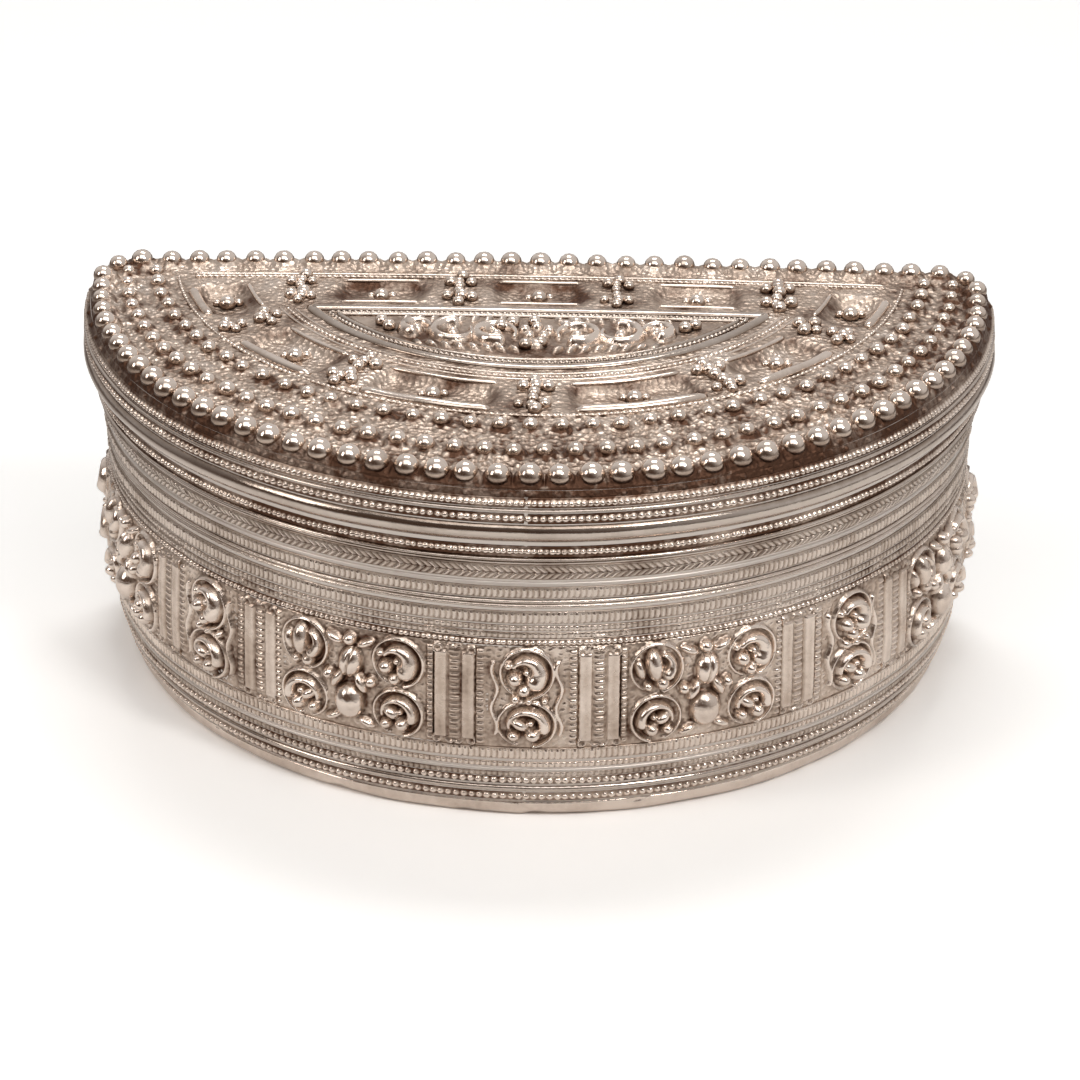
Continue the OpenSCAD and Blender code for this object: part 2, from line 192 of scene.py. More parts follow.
def profile_of(node, plan):
    """Outer offset of a CAD wall against height, read from the vertices of its curved front."""
    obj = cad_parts[node]
    co = np.empty(len(obj.data.vertices) * 3)
    obj.data.vertices.foreach_get("co", co)
    world = np.array(obj.matrix_world)
    pts = (co.reshape(-1, 3) @ world[:3, :3].T + world[:3, 3]) / MM
    front = pts[pts[:, 1] < plan.arc_y - 4.0]
    off = np.hypot(front[:, 0], front[:, 1] - plan.arc_y) - plan.arc_r
    level = np.round(front[:, 2], 2)
    heights = np.unique(level)
    outer = np.array([off[level == h].max() for h in heights])
    keep = outer > outer.max() - 8.0
    return heights[keep], outer[keep]


def smoothstep(a, b, x):
    t = np.clip((x - a) / (b - a), 0.0, 1.0)
    return t * t * (3.0 - 2.0 * t)


def scatter(i, seed=0.0):
    """A repeatable value from 0 to 1 for each whole number."""
    v = np.sin(i * 12.9898 + seed * 78.233) * 43758.5453
    return v - np.floor(v)


def ripple(a, b, scale):
    """A soft, uneven wave over a surface, from -1 to 1: a few sine waves that cross at odd angles."""
    a, b = a / scale, b / scale
    return (np.sin(a + 1.7 * np.sin(0.61 * b)) + np.sin(0.73 * b - 1.3 * a + 0.8) + np.sin(2.1 * a + 1.9 * b)
            + 0.6 * np.sin(3.7 * a - 2.9 * b + 1.1)) / 3.6


def local_mean(height, reach, axis):
    """Each value's mean with its neighbours within reach along one axis, by differences of a running sum."""
    pad = [(0, 0)] * height.ndim
    pad[axis] = (reach + 1, reach)
    run = np.cumsum(np.pad(height, pad, mode="edge"), axis=axis)
    n = height.shape[axis]
    ahead = np.take(run, np.arange(2 * reach + 1, 2 * reach + 1 + n), axis=axis)
    return (ahead - np.take(run, np.arange(n), axis=axis)) / (2 * reach + 1)


def cavity(height, reach, base, gain, lift=0.0):
    """Relief level for the silver: base on a flat, darker in a hollow next to something high, which is
    tarnish with painted shade, and brighter on what stands above its surroundings, which is a painted
    highlight."""
    around = local_mean(local_mean(height, reach, 0), reach, 1)
    return np.clip(base + gain * (height - around) + lift * height, 0.0, 1.0)


def finish_mesh(mesh, relief):
    """Smooth faces, and the relief level of each vertex, with its painted shade and highlight, kept as an
    attribute for the silver.
    """
    mesh.polygons.foreach_set("use_smooth", np.ones(len(mesh.polygons), dtype=bool))
    height = mesh.attributes.new("relief", "FLOAT", "POINT")
    height.data.foreach_set("value", relief.astype(np.float32))
    return mesh


def closed_mesh(name, points, relief, wrap):
    """A closed surface from points[row, column]: rows run round a section and close on themselves,
    columns run along it and either close too or end in flat caps. relief, a level from 0 in a hollow to 1 on
    a height that also carries painted shade and painted highlight, is kept as an attribute for the silver.
    Faces are turned outwards by the sign of the enclosed volume."""
    rows, cols = points.shape[:2]
    index = np.arange(rows * cols).reshape(rows, cols)
    below = np.roll(index, -1, axis=0)
    if wrap:
        quads = np.stack([index, np.roll(index, -1, axis=1), np.roll(below, -1, axis=1), below], axis=-1)
    else:
        quads = np.stack([index[:, :-1], index[:, 1:], below[:, 1:], below[:, :-1]], axis=-1)
    quads = quads.reshape(-1, 4)
    co = points.reshape(-1, 3) * MM
    a, b, c, d = (co[quads[:, k]] for k in range(4))
    volume = np.einsum("ij,ij->i", a, np.cross(b, c)).sum() + np.einsum("ij,ij->i", a, np.cross(c, d)).sum()
    if volume < 0:
        quads = quads[:, ::-1]
    corners = quads.reshape(-1)
    totals = np.full(len(quads), 4)
    if not wrap:
        first, last = index[:, 0], index[:, -1]
        if volume >= 0:
            last = last[::-1]
        else:
            first = first[::-1]
        corners = np.concatenate([corners, first, last])
        totals = np.concatenate([totals, [rows, rows]])
    mesh = bpy.data.meshes.new(name)
    mesh.vertices.add(len(co))
    mesh.vertices.foreach_set("co", co.ravel())
    mesh.loops.add(len(corners))
    mesh.loops.foreach_set("vertex_index", corners.astype(np.int32))
    mesh.polygons.add(len(totals))
    starts = np.concatenate([[0], np.cumsum(totals)[:-1]])
    mesh.polygons.foreach_set("loop_start", starts.astype(np.int32))
    mesh.polygons.foreach_set("loop_total", totals.astype(np.int32))
    mesh.update(calc_edges=True)
    finish_mesh(mesh, np.broadcast_to(relief, (rows, cols)).ravel())
    if not wrap:
        mesh.polygons[-1].use_smooth = False
        mesh.polygons[-2].use_smooth = False
    return mesh


def place(name, mesh, material, body, nodes=()):
    """Puts a finished mesh in the scene on its body, in its silver, in place of the CAD nodes it stands
    for."""
    obj = bpy.data.objects.new(name, mesh)
    bpy.context.scene.collection.objects.link(obj)
    mesh.materials.clear()
    mesh.materials.append(silver(material))
    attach(obj, body)
    if nodes:
        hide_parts(*nodes)
    return obj


def place_joined(name, meshes, material, body, nodes=()):
    """Joins several meshes into one piece, keeping their relief, and places it."""
    objects = [bpy.data.objects.new(name, mesh) for mesh in meshes]
    for obj in objects:
        bpy.context.scene.collection.objects.link(obj)
    with bpy.context.temp_override(active_object=objects[0], selected_editable_objects=objects):
        bpy.ops.object.join()
    joined = objects[0].data
    bpy.data.objects.remove(objects[0])
    joined.name = name
    return place(name, joined, material, body, nodes)


# How each silver differs: least roughness, most roughness, share of tarnish and painted shade in the hollows,
# painted tone of all its colours (lighter and darker copies of one silver that stand in for how light falls
# on each kind of part), strength of the scratches and strength of the punched ground
FINISHES = {
    "bead": (0.08, 0.34, 0.9, 0.98, 0.05, 0.0),
    # Polished parts are toned darker: painted shade in place of the dark reflections on the roll and the
    # lines
    "polished": (0.08, 0.26, 0.7, 0.7, 0.07, 0.0),
    "sheet": (0.26, 0.48, 0.8, 0.8, 0.25, 0.3),
    "chased": (0.15, 0.44, 1.0, 1.0, 0.08, 0.08),
    # A darker copy for the rope, neck and fine stroke bands: painted shade, most of them lying just under the
    # lid
    "shaded_bands": (0.2, 0.5, 1.0, 0.8, 0.12, 0.1),
    "matted": (0.22, 0.52, 1.0, 0.95, 0.1, 0.5),
}


def node(tree, kind, x, y, **inputs):
    """Adds a shader node at a place in the tree and sets its plain inputs."""
    made = tree.nodes.new(kind)
    made.location = (x, y)
    for key, value in inputs.items():
        made.inputs[key.replace("_", " ")].default_value = value
    return made


def math_node(tree, operation, x, y, *values, clamp=False):
    """Adds a maths node with its values, each a number or another node's output, and gives its result."""
    made = node(tree, "ShaderNodeMath", x, y)
    made.operation = operation
    made.use_clamp = clamp
    for slot, value in enumerate(values):
        if hasattr(value, "is_output"):
            tree.links.new(value, made.inputs[slot])
        else:
            made.inputs[slot].default_value = value
    return made.outputs[0]


def ramp_node(tree, x, y, value, stops):
    """Adds a colour ramp through (position, colour) stops and gives its colour."""
    made = node(tree, "ShaderNodeValToRGB", x, y)
    elements = made.color_ramp.elements
    for position, colour in stops[1:-1]:
        elements.new(position).color = colour
    for element, (position, colour) in ((elements[0], stops[0]), (elements[-1], stops[-1])):
        element.position = position
        element.color = colour
    tree.links.new(value, made.inputs[0])
    return made.outputs[0]


def faded(tree, x, y, value, low, high):
    """Adds a soft step that runs from zero at low to one at high."""
    made = node(tree, "ShaderNodeMapRange", x, y, From_Min=low, From_Max=high)
    made.interpolation_type = "SMOOTHSTEP"
    tree.links.new(value, made.inputs["Value"])
    return made.outputs[0]


def mixed(tree, x, y, share, first, second):
    """Adds a mix of two shaders: the second shows where share is one."""
    made = node(tree, "ShaderNodeMixShader", x, y)
    for slot, value in enumerate((share, first, second)):
        tree.links.new(value, made.inputs[slot])
    return made.outputs[0]


def empty_tree(owner):
    """The cleared node tree of a material or world."""
    owner.use_nodes = True
    owner.node_tree.nodes.clear()
    return owner.node_tree


def silver(finish):
    """Aged silver: bright where the relief level is high, partly a painted highlight, warm on the sheet and
    dark brown in the hollows, which is tarnish with painted shade, with cloudy tarnish, soft scratches and
    small hammer marks."""
    name = "silver_" + finish
    if name in bpy.data.materials:
        return bpy.data.materials[name]
    look = bpy.context.scene.paan_silver
    least, most, tarnish_and_shade_share, painted_tone, marks, punches = FINISHES[finish]
    mat = bpy.data.materials.new(name)
    tree = empty_tree(mat)
    link = tree.links.new
    out = node(tree, "ShaderNodeOutputMaterial", 900, 0)
    bsdf = node(tree, "ShaderNodeBsdfPrincipled", 600, 0, Metallic=1.0)
    link(bsdf.outputs[0], out.inputs[0])
    coords = node(tree, "ShaderNodeTexCoord", -1500, 0)
    relief = node(tree, "ShaderNodeAttribute", -1500, 300)
    relief.attribute_name = "relief"
    clouds = node(tree, "ShaderNodeTexNoise", -1250, 100, Scale=95.0, Detail=5.0, Roughness=0.6)
    grain = node(tree, "ShaderNodeTexNoise", -1250, -150, Scale=900.0, Detail=4.0, Roughness=0.65)
    stretch = node(tree, "ShaderNodeMapping", -1450, -350)
    stretch.inputs["Scale"].default_value = (1.0, 1.0, 9.0)
    link(coords.outputs["Object"], stretch.inputs["Vector"])
    scratches = node(tree, "ShaderNodeTexNoise", -1250, -350, Scale=420.0, Detail=6.0, Roughness=0.75)
    link(stretch.outputs[0], scratches.inputs["Vector"])
    patches = node(tree, "ShaderNodeTexNoise", -1250, 400, Scale=26.0, Detail=3.0, Roughness=0.5)
    for texture in (clouds, grain, patches):
        link(coords.outputs["Object"], texture.inputs["Vector"])
    # The relief level with its painted shade and highlight, the clouds, broad patches and fine grain together
    # decide where the tarnish and painted shade lie
    cloud_part = math_node(tree, "MULTIPLY_ADD", -1000, 150, clouds.outputs["Fac"], 1.3, -0.68)
    grain_part = math_node(tree, "MULTIPLY_ADD", -1000, -50, grain.outputs["Fac"], 0.5, -0.25)
    patch_part = math_node(tree, "MULTIPLY_ADD", -1000, 400, patches.outputs["Fac"], 0.5, -0.24)
    cloud_part = math_node(tree, "ADD", -900, 300, cloud_part, patch_part)
    level = math_node(tree, "ADD", -800, 200, relief.outputs["Fac"], cloud_part)
    level = math_node(tree, "ADD", -640, 200, level, grain_part, clamp=True)
    colour = ramp_node(tree, -450, 250, level, (
        (0.02, mix_colours(look.warm, look.tarnish_and_shade, tarnish_and_shade_share, painted_tone)),
        (0.42, mix_colours(look.warm, look.warm, 0.0, painted_tone)),
        (0.95, mix_colours(look.bright, look.bright, 0.0, painted_tone))))
    link(colour, bsdf.inputs["Base Color"])
    rough = node(tree, "ShaderNodeMapRange", -250, -100, To_Min=most, To_Max=least)
    link(level, rough.inputs["Value"])
    scratch_part = math_node(tree, "MULTIPLY_ADD", -250, -350, scratches.outputs["Fac"], 0.16, -0.08)
    roughness = math_node(tree, "ADD", 50, -150, rough.outputs[0], scratch_part, clamp=True)
    link(roughness, bsdf.inputs["Roughness"])
    height = math_node(tree, "ADD", -50, -500, scratches.outputs["Fac"], grain.outputs["Fac"])
    bump = node(tree, "ShaderNodeBump", 250, -450, Strength=marks, Distance=0.0004)
    link(height, bump.inputs["Height"])
    last = bump
    if punches:
        # Small punch marks: rounded cells of uneven size
        cells = node(tree, "ShaderNodeTexVoronoi", -450, -750, Scale=1250.0, Randomness=0.9)
        link(coords.outputs["Object"], cells.inputs["Vector"])
        punched = node(tree, "ShaderNodeBump", 420, -650, Strength=punches, Distance=0.00045)
        link(cells.outputs["Distance"], punched.inputs["Height"])
        link(bump.outputs[0], punched.inputs["Normal"])
        last = punched
    link(last.outputs[0], bsdf.inputs["Normal"])
    return mat


def mix_colours(a, b, share, painted_tone):
    """A colour between two, darkened to its painted tone."""
    return (*((x + (y - x) * share) * painted_tone for x, y in zip(a, b)), 1.0)


def plan_now():
    return Plan(to_mm(bpy.context.scene.paan_sizes.arc_radius))


def wobbled(plan, s, z, off, amount):
    """Points at an offset from the outline and a height, with the uneven line of hand-raised sheet added."""
    x, y, nx, ny = plan.at(s)
    stray = amount * ripple(s, z * 2.0, 9.0)
    out = off + stray
    return np.stack([x + nx * out, y + ny * out, z + 0.0 * x], axis=-1)


def ring_band(plan, profile, z0, z1, rows, step, relief, top_relief, back=0.45, wobble=0.0):
    """A band carried all round the outline. Its face has rows between the heights z0 and z1 and stands
    out from the profile by relief(s, v), with s the distance along and v from 0 to 1 up the band; its
    back lies inside the sheet. top_relief is the relief that counts as a bright height."""
    s = plan.steps(step)[None, :]
    v = np.linspace(0.0, 1.0, rows)[:, None]
    z = z0 + (z1 - z0) * v
    rise = relief(s, v) + 0.0 * s + 0.0 * v
    fade = np.minimum(1.0, np.minimum(v, 1.0 - v) * rows * 0.8)
    off = np.interp(z, *profile) + rise * fade
    face = wobbled(plan, s, z + 0.0 * s, off, wobble)
    back_z = np.array([z1 - 0.02 * (z1 - z0), z0 + 0.02 * (z1 - z0)])[:, None] + 0.0 * s
    inner = wobbled(plan, s, back_z, np.interp(back_z, *profile) - back, wobble)
    points = np.concatenate([face, inner])
    level = np.concatenate([np.clip(0.08 + rise / top_relief, 0.0, 1.0), np.zeros((2, s.size))])
    return points, level


def bead_relief(plan, pitch, radius, span, centre=0.5, ground=0.02):
    """A row of round beads: each rises as a half-ball at its pitch, with a little scatter in size and
    place."""
    pitch = plan.even(pitch)

    def relief(s, v):
        n = np.round(s / pitch)
        ds = s - n * pitch + (scatter(n, 1.0) - 0.5) * 0.12 * pitch
        dz = (v - centre) * span
        r = radius * (0.92 + 0.16 * scatter(n, 2.0))
        return ground + np.sqrt(np.maximum(r * r - ds * ds - dz * dz, 0.0))
    return relief


def stroke_relief(plan, pitch, height, bend, ground=0.03):
    """A row of upright strokes that bow to one side, between two fine lines."""
    pitch = plan.even(pitch)

    def relief(s, v):
        d = np.abs(v - 0.5) * 2.0
        phase = s / pitch + bend * d * d
        n = np.floor(phase)
        stroke = np.sin(math.pi * (phase - n)) ** 0.8 * (0.75 + 0.5 * scatter(n, 3.0))
        inside = smoothstep(0.8, 0.66, d)
        line = np.exp(-((d - 0.9) / 0.07) ** 2)
        return ground + height * (stroke * inside + 0.75 * line)
    return relief


def rope_relief(plan, pitch, height, ground=0.03):
    """Two rows of slanting strokes that meet in arrow points, between two fine lines."""
    pitch = plan.even(pitch)

    def relief(s, v):
        d = np.abs(v - 0.5) * 2.0
        phase = s / pitch + 1.3 * d
        n = np.floor(phase)
        stroke = np.sin(math.pi * (phase - n)) ** 0.8 * (0.75 + 0.5 * scatter(n, 4.0 + 0.0 * s))
        inside = smoothstep(0.86, 0.76, d) * smoothstep(0.0, 0.1, d)
        line = np.exp(-((d - 0.93) / 0.05) ** 2)
        return ground + height * (stroke * inside + 0.75 * line)
    return relief


def ridge_relief(height, count=1):
    """Smooth rounded ridges, one or more, side by side."""

    def relief(s, v):
        return height * np.abs(np.sin(math.pi * count * v)) ** 0.8 + 0.0 * s
    return relief


class BandMaker:
    """Makes the bands of one wall from its profile."""

    def __init__(self, wall_node, body):
        self.sizes = bpy.context.scene.paan_sizes
        self.plan = plan_now()
        self.profile = profile_of(wall_node, self.plan)
        self.body = body
        self.fine = to_mm(self.sizes.fine_step)
        self.smooth = to_mm(self.sizes.smooth_step)
        self.wobble = to_mm(self.sizes.wobble)

    def free_band(self, name, z0, z1, relief, top_relief, material, row_step=0.13, step=None, nodes=()):
        """A band between two heights; nodes are the CAD nodes it stands for, if any."""
        rows = max(5, int(round((z1 - z0) / row_step)) + 1)
        points, level = ring_band(self.plan, self.profile, z0, z1, rows, step or self.fine, relief,
                                  top_relief, wobble=self.wobble)
        place(name, closed_mesh(name, points, level, True), material, self.body, nodes)

    def band(self, name, cad_node, relief, top_relief, material, grow=(0.0, 0.0), **spacing):
        """A band in place of a CAD node, between the node's heights, each moved by its part of grow."""
        z0, z1 = node_heights(cad_node)
        self.free_band(name, z0 + grow[0], z1 + grow[1], relief, top_relief, material, nodes=[cad_node],
                       **spacing)


def swept_ring(name, maker, section, level, material, nodes, wobble):
    """A closed section of offsets and heights carried round the outline, for plain rings."""
    s = maker.plan.steps(maker.smooth)[None, :]
    off = np.array([p[0] for p in section])[:, None]
    z = np.array([p[1] for p in section])[:, None] + 0.0 * s
    points = wobbled(maker.plan, s, z, off + 0.0 * s, wobble)
    lift = np.array(level)[:, None] + 0.0 * s
    place(name, closed_mesh(name, points, lift, True), material, maker.body, nodes)


class PAAN_OT_box_walls(bpy.types.Operator):
    """The plain wall of the box, its foot moulding and the collar round its mouth"""
    bl_idname = "paan.box_walls"
    bl_label = "Box Walls"

    def execute(self, context):
        maker = BandMaker("front_wall", "box")
        sheet = to_mm(maker.sizes.sheet)
        z0, z1 = node_heights("front_wall")
        rows = 90
        heights = np.linspace(z0, z1, rows)
        outer = np.interp(heights, *maker.profile)
        section = list(zip(outer, heights))
        section += [(o - sheet, h) for o, h in zip(outer[::-6], heights[::-6])]
        level = [0.3] * rows + [0.4] * (len(section) - rows)
        swept_ring("wall_sheet", maker, section, level, "sheet", ["front_wall", "back_wall"], maker.wobble)
        self.foot(maker, sheet)
        self.collar(maker, sheet)
        return {"FINISHED"}

    def foot(self, maker, sheet):
        """The rounded foot: a shallow swelling with small knocks along its edge."""
        h = node_heights("foot_rim")[1]
        side = profile_of("foot_rim", maker.plan)
        inner = np.interp(h, *maker.profile) - sheet - 1.2
        rows = np.linspace(0.06, h, 16)
        s = maker.plan.steps(maker.smooth)[None, :]
        knocks = 0.35 * np.maximum(0.0, ripple(s, rows[:, None] * 3.0, 3.1)) ** 3
        off = np.interp(rows, *side)[:, None] - knocks
        off = off + 0.45 * (rows[:, None] / h - 0.6) * ripple(s, 0.0 * s, 6.5)
        off = np.concatenate([[off[0] - 0.12], off, np.full((2, s.size), inner)])
        z = np.concatenate([[0.0], rows, [h, 0.0]])[:, None] + 0.0 * s
        points = wobbled(maker.plan, s, z, off, maker.wobble)
        # The swelling of the foot is given bright silver: a painted highlight standing in for the sheen it
        # would mirror
        level = np.concatenate([[0.5], np.full(16, 0.8), [0.2, 0.2]])[:, None] + 0.0 * s
        place("foot_moulding", closed_mesh("foot_moulding", points, level, True), "bead", "box", ["foot_rim"])

    def collar(self, maker, sheet):
        """The upright collar and the rounded ledge that the lid comes down on."""
        hi = node_box("mouth_collar")[1]
        wall_top = node_heights("front_wall")[1]
        ledge_top = node_heights("lid_band")[0]
        ledge = hi[0] - maker.plan.arc_r
        outer = profile_of("mouth_collar", maker.plan)
        top = outer[1][-1]
        soft = 0.15
        section = [(top, hi[2] - soft), (top - soft, hi[2]), (top - sheet + soft, hi[2]),
                   (top - sheet, hi[2] - soft), (top - sheet, wall_top), (ledge - 0.1, wall_top),
                   (ledge, wall_top + 0.2),
                   (ledge, ledge_top - 0.25), (ledge - 0.3, ledge_top - 0.01), (top + 0.1, ledge_top - 0.01),
                   (top, ledge_top + 0.1)]
        level = [0.8] * len(section)
        swept_ring("mouth_collar_ring", maker, section, level, "polished", ["mouth_collar"], 0.0)


class PAAN_OT_box_bands(bpy.types.Operator):
    """The beaded and plain bands chased round the box"""
    bl_idname = "paan.box_bands"
    bl_label = "Box Bands"

    def execute(self, context):
        m = BandMaker("front_wall", "box")
        fine = to_mm(m.sizes.fine_pitch)
        coarse = to_mm(m.sizes.coarse_pitch)
        m.band("rope_chasing", "rope_band", rope_relief(m.plan, 0.95, 0.34), 0.4, "shaded_bands", row_step=0.115)
        m.band("upper_strokes", "upper_bead_band", stroke_relief(m.plan, fine, 0.36, 0.35), 0.38, "shaded_bands")
        m.band("neck_lines", "neck_ridges", ridge_relief(0.34, 2), 0.3, "shaded_bands", step=m.smooth, row_step=0.1)
        m.band("lower_strokes", "lower_bead_band", stroke_relief(m.plan, fine, 0.36, 0.3), 0.38, "shaded_bands")
        m.band("frieze_head_beads", "frieze_head_line", bead_relief(m.plan, fine, 0.36, 1.0), 0.34, "chased")
        m.band("frieze_sill_strokes", "frieze_sill_line", stroke_relief(m.plan, fine, 0.3, 0.2), 0.32,
               "chased", grow=(-0.9, 0.0))
        m.band("belly_beads", "belly_bead_band", bead_relief(m.plan, coarse, 0.48, 1.1), 0.42, "chased",
               grow=(-0.1, 0.1))
        neck = node_heights("frieze_head_line")[1]
        m.free_band("neck_fine_strokes", neck + 1.25, neck + 2.15,
                    stroke_relief(m.plan, fine, 0.24, 0.2), 0.28, "shaded_bands")
        m.free_band("head_fine_strokes", neck + 0.1, neck + 1.1,
                    stroke_relief(m.plan, fine, 0.18, 0.2), 0.26, "shaded_bands")
        rope = node_heights("rope_band")[0]
        m.free_band("rope_line", rope - 0.85, rope - 0.3, ridge_relief(0.26), 0.26, "sheet", 0.07, m.smooth)
        belly = node_heights("belly_bead_band")[1]
        m.free_band("belly_strokes", belly + 1.9, belly + 2.8,
                    stroke_relief(m.plan, fine, 0.22, 0.1), 0.28, "chased")
        m.free_band("belly_fine_strokes", belly + 0.2, belly + 1.05,
                    stroke_relief(m.plan, fine, 0.18, 0.1), 0.28, "shaded_bands")
        m.free_band("belly_line", belly + 1.2, belly + 1.65, ridge_relief(0.2), 0.26, "sheet", 0.07, m.smooth)
        m.band("base_line", "base_ridge", ridge_relief(0.42), 0.3, "polished", step=m.smooth, row_step=0.1)
        m.band("base_beads", "base_bead_band", bead_relief(m.plan, coarse, 0.5, 1.6), 0.45, "chased")
        return {"FINISHED"}


def dome(u, v, cu, cv, r, height):
    """A round boss."""
    d2 = ((u - cu) ** 2 + (v - cv) ** 2) / (r * r)
    return height * np.sqrt(np.maximum(1.0 - d2, 0.0))


def oval(u, v, cu, cv, ru, rv, turn, height):
    """An oval boss, turned by an angle in degrees."""
    t = math.radians(turn)
    a = (u - cu) * math.cos(t) + (v - cv) * math.sin(t)
    b = -(u - cu) * math.sin(t) + (v - cv) * math.cos(t)
    return height * np.sqrt(np.maximum(1.0 - (a / ru) ** 2 - (b / rv) ** 2, 0.0))


def curl(u, v, cu, cv, r, start, sweep, w0, w1, height):
    """A curl: an arc of radius r from a start angle through a sweep, in degrees, whose half-width grows
    from w0 to w1 and whose top is round."""
    angle = np.degrees(np.arctan2(v - cv, u - cu)) - start
    angle = np.mod(angle * np.sign(sweep), 360.0)
    span = abs(sweep)
    t = np.where(angle <= span, angle / span, np.where(angle > 0.5 * (span + 360.0), 0.0, 1.0))
    a = np.radians(start + t * sweep)
    d = np.hypot(u - cu - r * np.cos(a), v - cv - r * np.sin(a))
    w = w0 + (w1 - w0) * t
    return height * (0.55 + 0.45 * t) * np.sqrt(np.maximum(1.0 - (d / w) ** 2, 0.0))


def raised(shape, u, v, forms):
    """The higher of a shape and each form, a function with its sizes."""
    for form, sizes in forms:
        shape = np.maximum(shape, form(u, v, *sizes))
    return shape


# The curl of wire round every roundel, and what lies in each kind, for a roundel of radius one. Each form is
# followed by its sizes: its centre, its extent and last its height
WIRE_CURL = (0.0, 0.0, 0.94, 250.0, -325.0, 0.055, 0.085, 0.9)
ROUNDELS = {
    "drops": (
        (oval, (-0.1, 0.14, 0.33, 0.66, 6.0, 2.0)),
        (curl, (0.12, 0.1, 0.42, 70.0, -120.0, 0.1, 0.27, 1.8)),
        (oval, (-0.6, 0.0, 0.2, 0.42, 14.0, 1.3)),
        (dome, (0.2, -0.58, 0.27, 1.6)),
        (dome, (-0.32, -0.68, 0.19, 1.2)),
    ),
    "hook": (
        (curl, (-0.04, 0.06, 0.48, 150.0, -190.0, 0.1, 0.4, 2.1)),
        (dome, (-0.42, -0.16, 0.3, 1.9)),
        (dome, (-0.1, -0.62, 0.26, 1.6)),
        (dome, (0.0, 0.1, 0.17, 1.4)),
        (dome, (-0.66, 0.3, 0.16, 1.1)),
    ),
    "leaf": (
        (curl, (0.0, 0.0, 0.58, 190.0, -200.0, 0.08, 0.24, 1.8)),
        (oval, (-0.2, 0.06, 0.24, 0.38, 58.0, 1.7)),
        (dome, (0.2, -0.36, 0.3, 2.0)),
        (dome, (-0.42, -0.42, 0.24, 1.7)),
        (dome, (0.14, 0.12, 0.15, 1.3)),
    ),
}


def roundel(u, v, r, flip, kind):
    """A scroll roundel: an open curl of wire round swelling leaves and round bosses."""
    u = u * flip / r
    v = v / r
    return raised(curl(u, v, *WIRE_CURL), u, v, ROUNDELS[kind])


def plane_waves(a, b, length, count, seed):
    """An uneven speckle from -1 to 1: plane waves of nearly one length that cross in all directions."""
    total = np.zeros(np.broadcast(a, b).shape)
    for k in range(count):
        t = math.pi * (k + 0.5 * scatter(k, seed)) / count
        w = TAU / (length * (0.8 + 0.5 * scatter(k, seed + 1.0)))
        total = total + np.sin(w * (a * math.cos(t) + b * math.sin(t)) + TAU * scatter(k, seed + 2.0))
    return total / math.sqrt(0.5 * count) / 2.2


def matting(u, v, seed):
    """Small punched dots between the raised shapes: the crests of a fine speckle."""
    return 0.13 * np.clip(plane_waves(u, v, 0.8, 6, seed) + 0.3, 0.0, 1.0)


def bead_column(u, v, cu, half, pitch, low, high):
    """An upright row of short rungs with round tops."""
    across = np.maximum(1.0 - ((u - cu) / half) ** 4, 0.0)
    along = np.abs(np.sin(math.pi * v / pitch)) ** 0.7
    return np.where((v > low) & (v < high), 0.44 * across * along, 0.0)


# Bosses between the two roundels of a narrow panel
STEM_BOSSES = ((dome, (-1.5, 0.15, 0.75, 1.3)), (dome, (0.3, -0.1, 0.62, 1.3)), (dome, (2.4, 0.0, 0.6, 1.3)))
# Leaves on each side of a wide panel's bud
BUD_LEAVES = (
    (oval, (1.75, -0.1, 0.75, 1.7, 28.0, 1.5)),
    (dome, (3.1, 0.3, 0.9, 1.4)),
    (oval, (2.3, 5.9, 1.5, 0.65, 25.0, 1.3)),
    (oval, (2.5, -6.0, 1.4, 0.6, -25.0, 1.2)),
)
# The bud itself, from the acorn below to the boss at the top
ACORN = (0.0, -3.2, 2.2, 2.7, 0.0, 2.2)
TOP_LEAF = (0.15, 2.7, 1.75, 2.4, -12.0, 2.0)
TOP_BOSS = (0.0, 6.1, 1.0, 1.5)


def narrow_panel(u, v, half_v, roundel_r):
    """One roundel above the other, with a wavy stem beside them."""
    gap = half_v / 2.0 - 0.05
    shape = np.maximum(roundel(u, v - gap, roundel_r, 1.0, "hook"),
                       roundel(u / 1.12, v + gap, roundel_r * 0.97, 1.0, "leaf"))
    for side in (-1.0, 1.0):
        stem_u = side * (roundel_r + 0.55) + 0.4 * np.sin(v * 1.1)
        stem = 0.7 * np.sqrt(np.maximum(1.0 - ((u - stem_u) / 0.34) ** 2, 0.0)) * (np.abs(v) < half_v - 2.2)
        shape = np.maximum(shape, stem)
    return raised(shape, u, v, STEM_BOSSES)


def wide_panel(u, v, half_v, roundel_r, reach):
    """Two pairs of roundels with a bud between them: an acorn below, a leaf above and leaves round both."""
    gap = half_v / 2.0 - 0.05
    shape = np.zeros(np.broadcast(u, v).shape)
    for side in (-1.0, 1.0):
        upper, lower = ("drops", "leaf") if side < 0.0 else ("hook", "leaf")
        shape = np.maximum(shape, roundel(u - side * reach, v - gap, roundel_r, 1.0, upper))
        shape = np.maximum(shape, roundel(u - side * reach, v + gap, roundel_r * 0.97, side, lower))
        shape = raised(shape, u * side, v, BUD_LEAVES)
    leaf = oval(u, v, *TOP_LEAF)
    vein = 0.5 * np.exp(-((u - TOP_LEAF[0] - 0.18 * (v - TOP_LEAF[1])) / 0.16) ** 2) * (leaf > 0.3)
    shape = np.maximum(shape, leaf - vein)
    return raised(shape, u, v, ((oval, ACORN), (dome, TOP_BOSS)))


